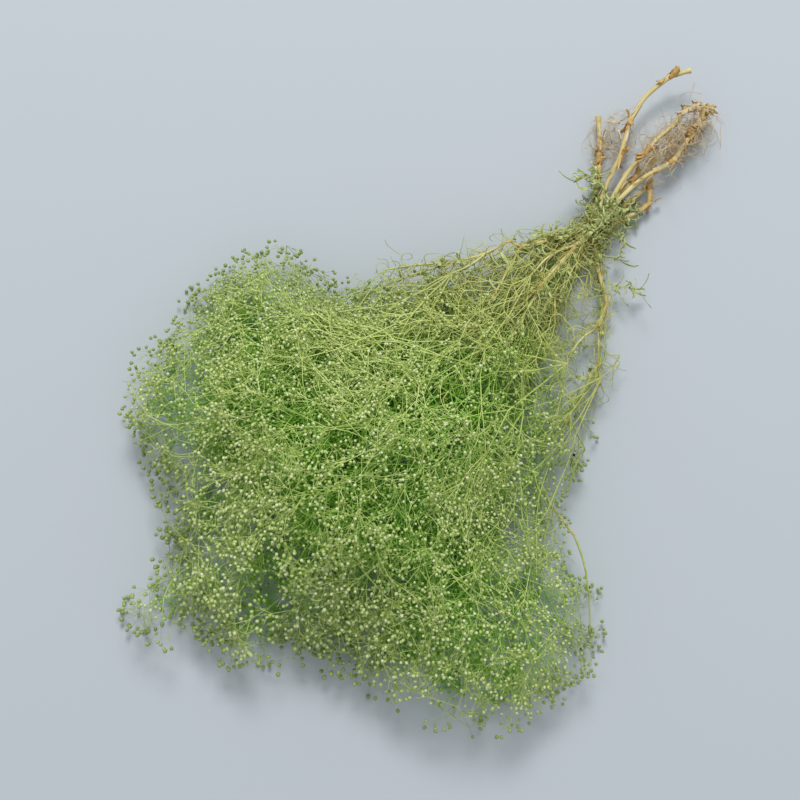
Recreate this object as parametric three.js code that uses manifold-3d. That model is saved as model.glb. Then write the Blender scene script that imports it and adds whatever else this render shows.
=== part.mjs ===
// A loose bunch of dried broom bloom, lying on a surface: six crooked straw stems with their
// root ends, the forking flower sprays that they carry, short leafy shoots at the neck and wisps
// of dead root fibre. Millimetres, +Z up. The stems run along +X from the root ends to the
// flower tips, and the origin is under the middle of the bunch, on the surface it lies on.

import * as THREE from 'three';
import { mergeVertices } from 'three/addons/utils/BufferGeometryUtils.js';
import Module from 'manifold-3d';

const wasm = await Module();
wasm.setup();

// Driving dimensions

const stemRadius = 1.4; // a main stem at the neck
const branchRadius = 0.85; // a branch where it leaves its stem
const branchEndRadius = 0.62; // a branch where its spray begins
const twigRadius = 0.55; // a spray's first twig
const stalkRadius = 0.43; // the stalk of a bud
const budRadius = 1.3; // half the width of a bud
const budLength = 3.1;
const nodeSwell = 1.4; // how much thicker a stem is at its nodes
const nodeLength = 2.6; // from a node's middle to where the stem is thin again
const seatGap = 0.3; // between pieces that touch on the plant
const clearGap = 0.35; // between twigs of two sprays that pass each other
const ownGap = 0.15; // between twigs of one spray that pass each other
const lowestPoint = 1.6; // of any twig's middle line, above the surface

const floorHeight = 2.4; // the lowest twigs, above the surface
const crownHeight = 107; // the top of the flower cloud
const edgeHeight = 27; // the thickness of the cloud at its edge
const crownSlope = 0.9; // how fast the cloud thickens inward from its edge

const firstTwig = 0.21; // a spray's first twig, as a share of the spray's length
const twigRatio = 0.86; // each twig compared with the one before it
const shortestTwig = 8;
const shortestStalk = 9;
const stalkFork = 3; // the first fork with a stalk and bud in its middle
const fewestStalks = 5; // that a spray keeps, those nearest to the cloud's outline first
const mostStalks = 12;
const outlineDepth = 9; // a stalk whose bud lies this close inside the outline shapes it
const lastFork = 5; // from here a twig runs straight out to its bud
const mergedForks = 5; // of a spray's forks, the last that keep only the outer of their two twigs
const aimTwigs = 2; // how many twig lengths ahead the outer one is judged
const rootShare = 0.35; // a side twig's thickness where it is sunk in what it grows from

const twigThinning = 0.02; // from one twig of a run to the next
const branchRootShare = 0.6; // a branch's thickness where it is sunk in its stem
const neckX = -125; // where the stems lie closest together
const trunkTaperLength = 45; // past the neck, over which a stem thins
const trunkEndRadius = 1.05;
const knobLength = 1.2; // of the knob that a stem ends in, past its last node

const spraySeed = 1000;
const spraySeedStep = 77;
const shootSeed = 500;
const tuftSeed = 900;

// The middle of the bunch as it is drawn below, which becomes the origin.
const middle = new THREE.Vector3(-0.426, 1.307, 0.879);

// The edge of the flower cloud seen from above, clockwise from the neck.
const cloudEdge = [
  [-112, 2], [-92, -32], [-40, -66], [0, -98], [8, -146], [46, -164], [92, -164], [136, -166],
  [156, -140], [160, -104], [186, -70], [234, -82], [240, -30], [208, -34], [216, -10],
  [220, 18], [186, 24], [172, 50], [176, 100], [160, 136], [128, 164], [76, 168], [36, 134],
  [14, 92], [-30, 74], [-72, 56], [-100, 26],
];
const cloudMiddle = new THREE.Vector3(80, -10, 0);

// Each stem's routes. The first starts at the root end. A later one starts at a point of an
// earlier one, and ends where a spray begins if it says so: with the spray's tip, how wide it
// opens and how many times it forks.
const stems = {
  stem_1: [
    { points: [[-235, -24, 19], [-224, -31, 18], [-206, -34, 16], [-190, -32, 15], [-169, -22, 16],
      [-150, -17, 14], [-125, -7.4, 10.55], [-102, -22, 17], [-88, -31.5, 22]], nodes: [1, 3, 4, 7, 8] },
    { from: [-88, -31.5, 22], points: [[-86, -39, 24], [-71, -45, 25], [-54, -56, 26], [-32, -70, 25],
      [-4, -84, 20]], nodes: [1, 3], spray: { tip: [60, -150, 22], spread: 1, forks: 8 } },
    { from: [-54, -56, 26], points: [[-38, -72, 27], [-24, -84, 25]],
      spray: { tip: [10, -150, 26], spread: 0.8, forks: 7 } },
    { from: [-71, -45, 25], points: [[-60, -47, 31], [-48, -52, 34]],
      spray: { tip: [26, -84, 42], spread: 1, forks: 8 } },
    { from: [-88, -31.5, 22], points: [[-55, -25, 33], [-32, -21, 41], [-18, -24, 46]], nodes: [1, 2],
      spray: { tip: [84, -40, 90], spread: 1.15, forks: 8 } },
    { from: [-32, -21, 41], points: [[-20, -36, 42], [4, -58, 41]],
      spray: { tip: [100, -110, 62], spread: 1.1, forks: 8 } },
    { from: [-20, -36, 42], points: [[-24, -47, 43]],
      spray: { tip: [55, -104, 60], spread: 1.1, forks: 8 } },
  ],
  stem_2: [
    { points: [[-180, -48, 8], [-169, -37, 9], [-156, -27, 10], [-140, -15, 9], [-125, -8.94, 7.95],
      [-88, -20, 12]], nodes: [1, 2, 5] },
    { from: [-88, -20, 12], points: [[-50, -42, 15], [-10, -62, 17], [28, -84, 16]], nodes: [1, 2],
      spray: { tip: [116, -158, 18], spread: 1, forks: 8 } },
    { from: [-50, -42, 15], points: [[-10, -48, 19], [50, -68, 21]], nodes: [1],
      spray: { tip: [150, -132, 24], spread: 1, forks: 8 } },
    { from: [-88, -20, 12], points: [[-30, -28, 14], [40, -46, 14], [106, -62, 13]], nodes: [1, 2],
      spray: { tip: [234, -62, 14], spread: 0.8, forks: 8 } },
  ],
  stem_3: [
    { points: [[-226, -3, 12], [-220, -0.5, 12.5], [-212, 1, 13], [-203, 2, 14], [-189, 4, 16],
      [-178, 0.5, 18], [-168, -3, 19], [-150, -5.5, 17], [-125, -5.86, 13.15], [-112, -7, 17],
      [-80, -8, 28]], nodes: [3, 4, 9, 10] },
    { from: [-226, -3, 12], thick: true, points: [[-217, -10, 13], [-204, -10, 13], [-192, -12, 13],
      [-181, -12, 14], [-168, -12.5, 14], [-142, -8, 12], [-125, -4.32, 10.55], [-85, -2, 18]],
      nodes: [4, 8] },
    { from: [-80, -8, 28], points: [[-42, -1, 39], [-20, 6, 46]], nodes: [1],
      spray: { tip: [84, 28, 90], spread: 1.15, forks: 8 } },
    { from: [-80, -8, 28], points: [[-30, -10, 36], [10, -8, 42], [42, -5, 46]], nodes: [1, 2],
      spray: { tip: [156, 10, 68], spread: 1.1, forks: 8 } },
    { from: [-30, -10, 36], points: [[0, -26, 38], [34, -38, 44]],
      spray: { tip: [146, -62, 66], spread: 1.1, forks: 8 } },
    { from: [-85, -2, 18], points: [[-40, 12, 30], [24, 28, 43]], nodes: [1],
      spray: { tip: [126, 78, 62], spread: 1.1, forks: 8 } },
    { from: [-40, 12, 30], points: [[-14, 32, 37]],
      spray: { tip: [70, 104, 52], spread: 1.1, forks: 8 } },
    { from: [-85, -2, 18], points: [[-66, 14, 24]],
      spray: { tip: [8, 44, 46], spread: 1, forks: 8 } },
    { from: [-112, -7, 17], points: [[-95, -15, 25], [-78, -16, 31]],
      spray: { tip: [20, -16, 58], spread: 1.1, forks: 8 } },
  ],
  stem_4: [
    { points: [[-184, -4, 6], [-168, -7, 7], [-142, -7, 7.5], [-125, -5.86, 7.95], [-84, -10, 9]],
      nodes: [1, 4] },
    { from: [-84, -10, 9], points: [[-30, -14, 12], [40, -24, 14], [100, -30, 17]], nodes: [1, 2],
      spray: { tip: [216, 6, 16], spread: 0.9, forks: 8 } },
    { from: [-30, -14, 12], points: [[10, -6, 13], [48, -4, 14]],
      spray: { tip: [126, -30, 24], spread: 1.2, forks: 8 } },
  ],
  stem_5: [
    { points: [[-172, 1, 9], [-166, 5, 9], [-161, 10, 8.5], [-155, 9, 8], [-140, 3, 8], [-125, 0.3, 7.95],
      [-111, 10, 12], [-97, 30, 14], [-83, 35, 15]], nodes: [1, 2, 6, 7, 8] },
    { from: [-83, 35, 15], points: [[-66, 50, 15], [-60, 56, 15]], nodes: [1],
      spray: { tip: [-10, 72, 18], spread: 0.7, forks: 7 } },
    { from: [-83, 35, 15], points: [[-70, 32, 19], [-52, 34, 23]],
      spray: { tip: [26, 84, 26], spread: 0.9, forks: 7 } },
    { from: [-66, 50, 15], points: [[-30, 57, 14], [8, 64, 15]], nodes: [1],
      spray: { tip: [84, 156, 18], spread: 0.9, forks: 8 } },
  ],
  stem_6: [
    { points: [[-172, 3, 2.2], [-150, 0, 5], [-125, -2.78, 7.95], [-84, 6, 10]], nodes: [1, 3] },
    { from: [-84, 6, 10], points: [[-20, 26, 13], [30, 36, 15], [64, 44, 18]], nodes: [1, 2],
      spray: { tip: [172, 108, 18], spread: 1, forks: 8 } },
    { from: [-84, 6, 10], points: [[-20, 14, 11], [40, 10, 13], [76, 12, 15]], nodes: [1, 2],
      spray: { tip: [184, 44, 18], spread: 1, forks: 8 } },
    { from: [-20, 26, 13], points: [[16, 46, 15], [42, 58, 17]],
      spray: { tip: [140, 150, 20], spread: 1, forks: 8 } },
  ],
};

// Leafy shoots: the stem and place that carries each one, which way it leaves the stem, which
// way it then grows, and how long it is.
const leafyShoots = [
  { stem: 'stem_1', at: [-158, -19, 15], out: [0.1, -0.6, 0.8], way: [0.8, -0.35, 0.45], reach: 26 },
  { stem: 'stem_3', at: [-150, -5.5, 17], out: [0.1, 0.2, 1], way: [0.75, -0.1, 0.5], reach: 28 },
  { stem: 'stem_5', at: [-140, 3, 8], out: [0.1, 0.9, 0.4], way: [0.8, 0.45, 0.3], reach: 26 },
  { stem: 'stem_1', at: [-113, -15, 14], out: [0.1, -0.8, 0.6], way: [0.85, -0.5, 0.1], reach: 30 },
  { stem: 'stem_3', at: [-102, -7.5, 20], out: [0.1, 0.7, 0.7], way: [0.8, 0.35, 0.4], reach: 30 },
  { stem: 'stem_5', at: [-104, 20, 13], out: [-0.8, 0.6, 0.3], way: [-0.5, 0.85, 0.1], reach: 20 },
];
const leafLength = 13;
const leafWidth = 2.1;
const leafThickness = 0.8;
const leafPairs = 3;
const leafSteps = 3; // straight stretches along a leaf
const shootRadius = 0.6;

// Wisps of dead root: the stem and place that holds each one, which way it leaves the stem, the
// middle of its tangle and how far that reaches.
const rootTufts = [
  { stem: 'stem_2', at: [-163, -32, 9.5], out: [-0.2, 0.8, 0.5], middle: [-172, -31, 10], reach: [16, 6, 5] },
  { stem: 'stem_3', at: [-196, 3, 15], out: [0, -0.8, 0.5], middle: [-196, -4, 15], reach: [18, 5, 6] },
  { stem: 'stem_3', at: [-216, 0, 12.8], out: [0, 0.9, -0.2], middle: [-208, 7, 10], reach: [14, 4, 4] },
];
const fibreRadius = 0.5;
const fibresPerTuft = 5;
const wispSteps = 4; // straight stretches along a side fibre

// Colours

const straw = new THREE.MeshStandardMaterial({ color: 0xc2a862, roughness: 0.7, metalness: 0 });
const leafGreen = new THREE.MeshStandardMaterial({ color: 0x7f9a58, roughness: 0.8, metalness: 0 });
const sprayGreen = new THREE.MeshStandardMaterial({ color: 0x9dbb6a, roughness: 0.75, metalness: 0 });
const deadRoot = new THREE.MeshStandardMaterial({ color: 0xa8987c, roughness: 0.9, metalness: 0 });

// A small random generator, so that every build is alike.

function drawFrom(seed) {
  let state = seed >>> 0;
  function next() {
    state = (state + 0x6d2b79f5) >>> 0;
    let t = state;
    t = Math.imul(t ^ (t >>> 15), t | 1);
    t ^= t + Math.imul(t ^ (t >>> 7), t | 61);
    return ((t ^ (t >>> 14)) >>> 0) / 4294967296;
  }
  return (low, high) => low + (high - low) * next();
}

function childSeed(seed, index) {
  return (Math.imul(seed, 1664525) + Math.imul(1013904223, index + 1)) >>> 0;
}

function vector(list) {
  return new THREE.Vector3(list[0], list[1], list[2]);
}

// How far a place lies inside the cloud's edge, less than 0 outside it.
function edgeDistance(x, y) {
  let nearest = Infinity;
  let inside = false;
  cloudEdge.forEach(([x1, y1], i) => {
    const [x2, y2] = cloudEdge[(i + 1) % cloudEdge.length];
    const along = ((x - x1) * (x2 - x1) + (y - y1) * (y2 - y1)) / ((x2 - x1) ** 2 + (y2 - y1) ** 2);
    const t = Math.min(1, Math.max(0, along));
    nearest = Math.min(nearest, Math.hypot(x - x1 - t * (x2 - x1), y - y1 - t * (y2 - y1)));
    if (y1 > y !== y2 > y && x < x1 + ((y - y1) * (x2 - x1)) / (y2 - y1)) inside = !inside;
  });
  return inside ? nearest : -nearest;
}

// The height of the cloud's top over a place.
function cloudTop(x, y) {
  return Math.min(crownHeight, edgeHeight + crownSlope * Math.max(edgeDistance(x, y), 0));
}

// How far inside the cloud's outline a point lies, from its edge or its top.
function outlineDistance(point) {
  return Math.min(edgeDistance(point.x, point.y), cloudTop(point.x, point.y) - point.z);
}

// A twig's end brought back between the surface and the crown of the cloud.
function keptInCloud(end) {
  const top = cloudTop(end.x, end.y);
  if (end.z < floorHeight) end.z = floorHeight + 0.3 * Math.min(floorHeight - end.z, 15);
  if (end.z > top) end.z = top - 0.3 * Math.min(end.z - top, 15);
  return end;
}

// The end of a twig, turned back where it would leave the cloud's edge.
function twigEnd(start, way, size, draw) {
  const loose = draw(-10, 3);
  let heading = way.clone();
  let end = keptInCloud(start.clone().addScaledVector(heading, size));
  for (let tries = 0; tries < 4 && edgeDistance(end.x, end.y) <= loose; tries++) {
    const inward = new THREE.Vector3(cloudMiddle.x - start.x, cloudMiddle.y - start.y, 0).normalize();
    heading = heading.addScaledVector(inward, 0.4).normalize();
    end = keptInCloud(start.clone().addScaledVector(heading, size));
  }
  return end;
}

// One twig of a spray and all that grows from it, on the run that it belongs to. Forks open in
// pairs, each turned across the last, and a stalk with a bud stands in some forks. The kept one
// of a pair carries the run on, and the other starts its own. Past the full forks only the one
// that heads further out of the cloud grows. Every fork draws from its own seed, so a side twig
// that is left out moves nothing else.
function growTwig(spray, run, start, way, plane, size, fork, seed) {
  const draw = drawFrom(seed);
  const sweep = size * draw(0.82, 1.18);
  const end = twigEnd(start, way, sweep, draw);
  const heading = end.clone().sub(start).normalize();
  const across = plane.clone().addScaledVector(heading, -plane.dot(heading)).normalize();
  if (fork <= lastFork || fork === spray.forks) run.push(end);
  if (fork === spray.forks) return;
  if (fork >= stalkFork) {
    const tilt = heading.clone().applyAxisAngle(across, draw(-0.35, 0.35));
    const stalk = Math.max(shortestStalk, size * 0.7) * draw(0.8, 1.25);
    const tip = twigEnd(end, tilt, stalk, draw);
    if (fork <= lastFork) spray.stalks.push([end, tip]);
  }
  const roll = draw(THREE.MathUtils.degToRad(55), THREE.MathUtils.degToRad(125));
  const hinge = heading.clone().cross(across).normalize();
  const pair = [0, 1].map((side) => {
    const opening = THREE.MathUtils.degToRad(draw(20, 38)) * spray.spread;
    const childSize = Math.max(shortestTwig, size * twigRatio * draw(0.88, 1.12));
    const childWay = heading.clone().applyAxisAngle(hinge, side === 0 ? opening : -opening);
    const aim = end.clone().addScaledVector(childWay, childSize * aimTwigs);
    return { side, childSize, childWay, depth: outlineDistance(aim) };
  });
  const single = fork > spray.fullForks;
  const keptSide = single && pair[1].depth < pair[0].depth ? 1 : 0;
  pair.forEach(({ side, childSize, childWay }) => {
    if (single && side !== keptSide) return;
    const childRun = side === keptSide ? run : [end];
    if (childRun !== run) spray.runs.push(childRun);
    const childPlane = across.clone().applyAxisAngle(heading, roll);
    growTwig(spray, childRun, end, childWay, childPlane, childSize, fork + 1, childSeed(seed, side));
  });
}

function growSpray(base, plan, seed) {
  const reach = vector(plan.tip).sub(base);
  const way = reach.clone().normalize();
  const plane = way.clone().cross(new THREE.Vector3(0, 0, 1)).normalize();
  plane.applyAxisAngle(way, drawFrom(seed ^ 0x9e3779b9)(-0.5, 0.5));
  const trunk = [base.clone()];
  const fullForks = plan.forks - mergedForks;
  const spray = { runs: [trunk], stalks: [], forks: plan.forks, spread: plan.spread, fullForks };
  growTwig(spray, trunk, base, way, plane, reach.length() * firstTwig, 1, seed);
  return [...spray.runs, ...keptStalks(spray.stalks)];
}

// The stalks that a spray keeps: those that shape the cloud's outline, and a few within it.
function keptStalks(stalks) {
  const ranked = stalks.map((run) => ({ run, depth: outlineDistance(run[1]) }));
  ranked.sort((a, b) => a.depth - b.depth);
  const kept = ranked.filter(({ depth }, rank) => rank < fewestStalks || depth < outlineDepth);
  return kept.slice(0, mostStalks).map(({ run }) => run);
}

// Clearing one piece from another. Every run is a chain of points, and runs that share a fork
// hold the same point. The stems stay where they are drawn, and the rest is bent clear.

const links = []; // each straight stretch of a run, or the bud at its end

function addLinks(points, radii, piece, { bud = false, fixed = false, seat = null } = {}) {
  points.slice(1).forEach((to, i) => {
    const from = points[i];
    const radius = Math.max(radii[i], radii[i + 1]);
    links.push({ from, to, radius, piece, low: 0, high: 1, seat: i === 0 ? seat : null });
    if (fixed) {
      from.fixed = true;
      to.fixed = true;
    }
  });
  if (bud) {
    const last = links[links.length - 1];
    const low = 1 - budLength / last.from.distanceTo(last.to);
    links.push({ ...last, radius: budRadius, low, high: 1, seat: null });
  }
}

// The nearest places of two stretches, as shares of their lengths, and the way between them.
function nearestPlaces(a, b) {
  const aStart = a.from.clone().lerp(a.to, a.low);
  const bStart = b.from.clone().lerp(b.to, b.low);
  const u = a.from.clone().lerp(a.to, a.high).sub(aStart);
  const v = b.from.clone().lerp(b.to, b.high).sub(bStart);
  const w = aStart.sub(bStart);
  const uu = u.dot(u);
  const uv = u.dot(v);
  const vv = v.dot(v);
  const uw = u.dot(w);
  const vw = v.dot(w);
  const clamp = (value) => Math.min(1, Math.max(0, value));
  const flat = uu * vv - uv * uv;
  let s = flat > 1e-9 ? clamp((uv * vw - vv * uw) / flat) : 0.5;
  const t = clamp((uv * s + vw) / vv);
  s = clamp((uv * t - uw) / uu);
  const apart = w.addScaledVector(u, s).addScaledVector(v, -t);
  return { s: a.low + s * (a.high - a.low), t: b.low + t * (b.high - b.low), apart };
}

function share(a, b) {
  return a.from === b.from || a.from === b.to || a.to === b.from || a.to === b.to;
}

function nearPairs(reach) {
  const middles = links.map((link) => link.from.clone().lerp(link.to, 0.5));
  const halves = links.map((link) => link.from.distanceTo(link.to) / 2 + link.radius);
  const pairs = [];
  for (let i = 0; i < links.length; i++) {
    for (let j = i + 1; j < links.length; j++) {
      const a = links[i];
      const b = links[j];
      if (share(a, b) || a.seat === b.piece || b.seat === a.piece) continue;
      const near = halves[i] + halves[j] + reach;
      if (middles[i].distanceToSquared(middles[j]) < near * near) pairs.push([a, b]);
    }
  }
  return pairs;
}

// Moves the four ends of two stretches that come too near, each by its share in the fault.
function pushApart(a, b) {
  const { s, t, apart } = nearestPlaces(a, b);
  const gap = a.piece === b.piece ? ownGap : clearGap;
  const need = a.radius + b.radius + gap;
  const distance = apart.length();
  if (distance >= need) return 0;
  const way = distance > 1e-6 ? apart.divideScalar(distance) : new THREE.Vector3(0, 0, 1);
  const ends = [[a.from, 1 - s], [a.to, s], [b.from, t - 1], [b.to, -t]];
  const movable = ends.filter(([point]) => !point.fixed);
  const weight = movable.reduce((sum, [, w]) => sum + w * w, 0);
  if (weight < 1e-6) return 0;
  const push = (need - distance + 0.02) / weight;
  movable.forEach(([point, w]) => {
    point.addScaledVector(way, push * w);
    point.z = Math.max(point.z, lowestPoint);
  });
  return need - distance;
}

function bendClear() {
  for (let round = 0; round < 8; round++) {
    const pairs = nearPairs(4);
    let worst = 0;
    for (let pass = 0; pass < 12; pass++) {
      worst = 0;
      pairs.forEach(([a, b]) => {
        worst = Math.max(worst, pushApart(a, b));
      });
    }
    if (worst < 0.01) break;
  }
}

// Solids

function geometryOf(rings, tip) {
  const positions = [];
  const indices = [];
  const sides = rings[0].length;
  rings.flat().forEach((point) => positions.push(point.x, point.y, point.z));
  for (let k = 1; k < sides - 1; k++) indices.push(0, k + 1, k);
  for (let ring = 0; ring < rings.length - 1; ring++) {
    for (let k = 0; k < sides; k++) {
      const a = ring * sides + k;
      const b = ring * sides + ((k + 1) % sides);
      indices.push(a, b, b + sides, a, b + sides, a + sides);
    }
  }
  const last = (rings.length - 1) * sides;
  if (tip) {
    const tipIndex = rings.length * sides;
    positions.push(tip.x, tip.y, tip.z);
    for (let k = 0; k < sides; k++) indices.push(last + k, last + ((k + 1) % sides), tipIndex);
  } else {
    for (let k = 1; k < sides - 1; k++) indices.push(last, last + k, last + k + 1);
  }
  const geometry = new THREE.BufferGeometry();
  geometry.setAttribute('position', new THREE.Float32BufferAttribute(positions, 3));
  geometry.setIndex(indices);
  return geometry;
}

// The way a chain of points heads at each of them, and a sideways direction carried along it.
function framesAlong(points, startWay) {
  const ways = points.map((point, i) => {
    const before = points[Math.max(i - 1, 0)];
    const after = points[Math.min(i + 1, points.length - 1)];
    const back = point.clone().sub(before).normalize();
    const ahead = after.clone().sub(point).normalize();
    return back.add(ahead).normalize();
  });
  if (startWay) ways[0] = startWay.clone().normalize();
  const upright = Math.abs(ways[0].z) > 0.9 ? new THREE.Vector3(1, 0, 0) : new THREE.Vector3(0, 0, 1);
  let side = upright.clone().cross(ways[0]).normalize();
  return ways.map((way) => {
    side = side.addScaledVector(way, -side.dot(way)).normalize();
    return { way, side: side.clone(), up: way.clone().cross(side) };
  });
}

// A round section of few sides swept along points, thick as radii say, with a flat end or a tip.
function sweptTube(points, radii, sides, { startWay = null, tip = null } = {}) {
  const frames = framesAlong(tip ? [...points, tip] : points, startWay);
  const rings = points.map((point, i) => {
    const { side, up } = frames[i];
    return Array.from({ length: sides }, (_, k) => {
      const angle = (2 * Math.PI * k) / sides;
      return point.clone()
        .addScaledVector(side, radii[i] * Math.cos(angle))
        .addScaledVector(up, radii[i] * Math.sin(angle));
    });
  });
  return geometryOf(rings, tip);
}

// A run of twigs that ends in a bud: the stalk, the bud's wide belly and its blunt tip.
function buddedTwig(points, radii, startWay) {
  const tip = points[points.length - 1];
  const before = points[points.length - 2];
  const way = tip.clone().sub(before).normalize();
  const neck = tip.clone().addScaledVector(way, -budLength);
  const belly = tip.clone().addScaledVector(way, -0.42 * budLength);
  const body = [...points.slice(0, -1), neck, belly];
  const thick = [...radii.slice(0, -1), stalkRadius, budRadius];
  if (!startWay) thick[0] *= rootShare;
  return sweptTube(body, thick, 3, { startWay, tip });
}

// A narrow leaf: a thin keeled blade that widens to its middle and curls to a point.
function leafBlade(points, width) {
  const frames = framesAlong(points);
  const tip = points[points.length - 1];
  const rings = points.slice(0, -1).map((point, i) => {
    const full = i === 0 ? rootShare : 0.6 + 0.4 * Math.sin((Math.PI * i) / (points.length - 1));
    const { side, up } = frames[i];
    const left = point.clone().addScaledVector(side, (full * width) / 2);
    const right = point.clone().addScaledVector(side, (-full * width) / 2);
    const keel = point.clone().addScaledVector(up, -full * leafThickness);
    return [left, right, keel];
  });
  return geometryOf(rings, tip);
}

function solidOf(geometry) {
  const merged = mergeVertices(geometry, 1e-5);
  const vertProperties = new Float32Array(merged.attributes.position.array);
  const triVerts = new Uint32Array(merged.index.array);
  return new wasm.Manifold(new wasm.Mesh({ numProp: 3, vertProperties, triVerts }));
}

function fused(geometries) {
  return geometries.map(solidOf).reduce((whole, piece) => whole.add(piece));
}

// Stems. A route's points are kept by place, so that a branch shares the point that it leaves.

function routeRadii(points, isTrunk) {
  return points.map((point, i) => {
    if (!isTrunk && i === 0) return branchRadius * branchRootShare;
    if (!isTrunk) return THREE.MathUtils.lerp(branchRadius, branchEndRadius, i / (points.length - 1));
    const pastNeck = THREE.MathUtils.clamp((point.x - neckX) / trunkTaperLength, 0, 1);
    return THREE.MathUtils.lerp(stemRadius, trunkEndRadius, pastNeck);
  });
}

// The route's section with a swelling at each node, and a knob past a trunk's last node.
function knottedTube(points, radii, nodes, sides, isTrunk) {
  const spots = [];
  const thick = [];
  const put = (point, radius) => {
    spots.push(point);
    thick.push(radius);
  };
  points.forEach((point, i) => {
    const swollen = nodes.includes(i);
    const before = points[i - 1];
    const after = points[i + 1];
    if (swollen && before) {
      const back = before.clone().sub(point).normalize();
      put(point.clone().addScaledVector(back, nodeLength), radii[i]);
    }
    put(point.clone(), swollen ? radii[i] * nodeSwell : radii[i]);
    if (swollen && after) {
      const ahead = after.clone().sub(point).normalize();
      put(point.clone().addScaledVector(ahead, nodeLength), radii[i]);
    }
    if (swollen && !after && isTrunk) {
      const onward = point.clone().sub(before).normalize();
      put(point.clone().addScaledVector(onward, knobLength), radii[i]);
    }
  });
  return sweptTube(spots, thick, sides);
}

const pieces = []; // each node's name, colour and the geometries that are fused in it
const sprayPlans = [];

Object.entries(stems).forEach(([name, routes]) => {
  const known = new Map();
  const geometries = [];
  routes.forEach((route) => {
    const isTrunk = !route.from || Boolean(route.thick);
    const points = (route.from ? [route.from, ...route.points] : route.points).map((place) => {
      const key = place.join();
      if (!known.has(key)) known.set(key, vector(place));
      return known.get(key);
    });
    const radii = routeRadii(points, isTrunk);
    addLinks(points, radii, name, { fixed: true });
    geometries.push(knottedTube(points, radii, route.nodes ?? [], isTrunk ? 5 : 4, isTrunk));
    if (route.spray) {
      const end = points[points.length - 1];
      const outward = end.clone().sub(points[points.length - 2]).normalize();
      sprayPlans.push({ plan: route.spray, stem: name, end, outward });
    }
  });
  pieces.push({ name, material: straw, build: () => fused(geometries) });
});

// The place of a stem nearest to where something is drawn on it, and the way off the stem there.
function seatOn(stem, drawnAt, drawnOut) {
  const places = links.filter((link) => link.piece === stem).map((link) => {
    const along = link.to.clone().sub(link.from);
    const t = THREE.MathUtils.clamp(drawnAt.clone().sub(link.from).dot(along) / along.lengthSq(), 0, 1);
    const place = link.from.clone().lerp(link.to, t);
    return { place, along: along.normalize(), radius: link.radius, off: place.distanceTo(drawnAt) };
  });
  const { place, along, radius } = places.reduce((best, next) => (next.off < best.off ? next : best));
  const outward = drawnOut.clone().addScaledVector(along, -drawnOut.dot(along)).normalize();
  return { outward, start: place.addScaledVector(outward, radius + seatGap) };
}

// Sprays

sprayPlans.forEach(({ plan, stem, end, outward }, i) => {
  const name = `spray_${String(i + 1).padStart(2, '0')}`;
  const base = end.clone().addScaledVector(outward, seatGap);
  const runs = growSpray(base, plan, spraySeed + i * spraySeedStep);
  const radiiOf = (run) => run.map((_, k) => Math.max(stalkRadius, twigRadius - k * twigThinning));
  runs.forEach((run, r) => {
    addLinks(run, radiiOf(run), name, { bud: true, seat: r === 0 ? stem : null });
  });
  runs[0][0].fixed = true;
  const build = () => fused(runs.map((run, r) => buddedTwig(run, radiiOf(run), r === 0 ? outward : null)));
  pieces.push({ name, material: sprayGreen, build });
});

// Leafy shoots: a short axis with pairs of curled leaves, each pair turned across the last.

leafyShoots.forEach(({ stem, at, out, way, reach }, i) => {
  const name = `leafy_shoot_${i + 1}`;
  const draw = drawFrom(shootSeed + i);
  const heading = vector(way).normalize();
  const { outward, start } = seatOn(stem, vector(at), vector(out));
  const axis = [start, start.clone().addScaledVector(outward, 2)];
  for (let pair = 0; pair < leafPairs; pair++) {
    const stretch = (reach / leafPairs) * draw(0.85, 1.15);
    const bend = new THREE.Vector3(draw(-0.25, 0.25), draw(-0.25, 0.25), draw(-0.15, 0.2));
    axis.push(axis[axis.length - 1].clone().addScaledVector(heading.clone().add(bend).normalize(), stretch));
  }
  axis[0].fixed = true;
  const axisRadii = axis.map((_, k) => shootRadius - 0.03 * k);
  addLinks(axis, axisRadii, name, { seat: stem });
  const leaves = [];
  for (let pair = 0; pair < leafPairs; pair++) {
    const foot = axis[pair + 2];
    const along = foot.clone().sub(axis[pair + 1]).normalize();
    const across = along.clone().cross(new THREE.Vector3(0, 0, 1)).normalize();
    across.applyAxisAngle(along, pair * (Math.PI / 2) + draw(-0.4, 0.4));
    for (const side of [1, -1]) {
      const long = leafLength * draw(0.8, 1.2);
      const curl = draw(-0.5, 0.9);
      const turnAxis = along.clone().cross(across).normalize();
      const points = [foot];
      let step = along.clone().multiplyScalar(0.75).addScaledVector(across, side).normalize();
      for (let k = 0; k < leafSteps; k++) {
        points.push(points[points.length - 1].clone().addScaledVector(step, long / leafSteps));
        step = step.applyAxisAngle(turnAxis, side * curl * 0.6);
      }
      addLinks(points, points.map(() => leafWidth / 2), name);
      leaves.push(points);
    }
  }
  const build = () => fused([
    sweptTube(axis, axisRadii, 4, { startWay: outward }),
    ...leaves.map((points) => leafBlade(points, leafWidth)),
  ]);
  pieces.push({ name, material: leafGreen, build });
});

// Root wisps: one strand from its seat on the stem, and others that leave it and wander.

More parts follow.
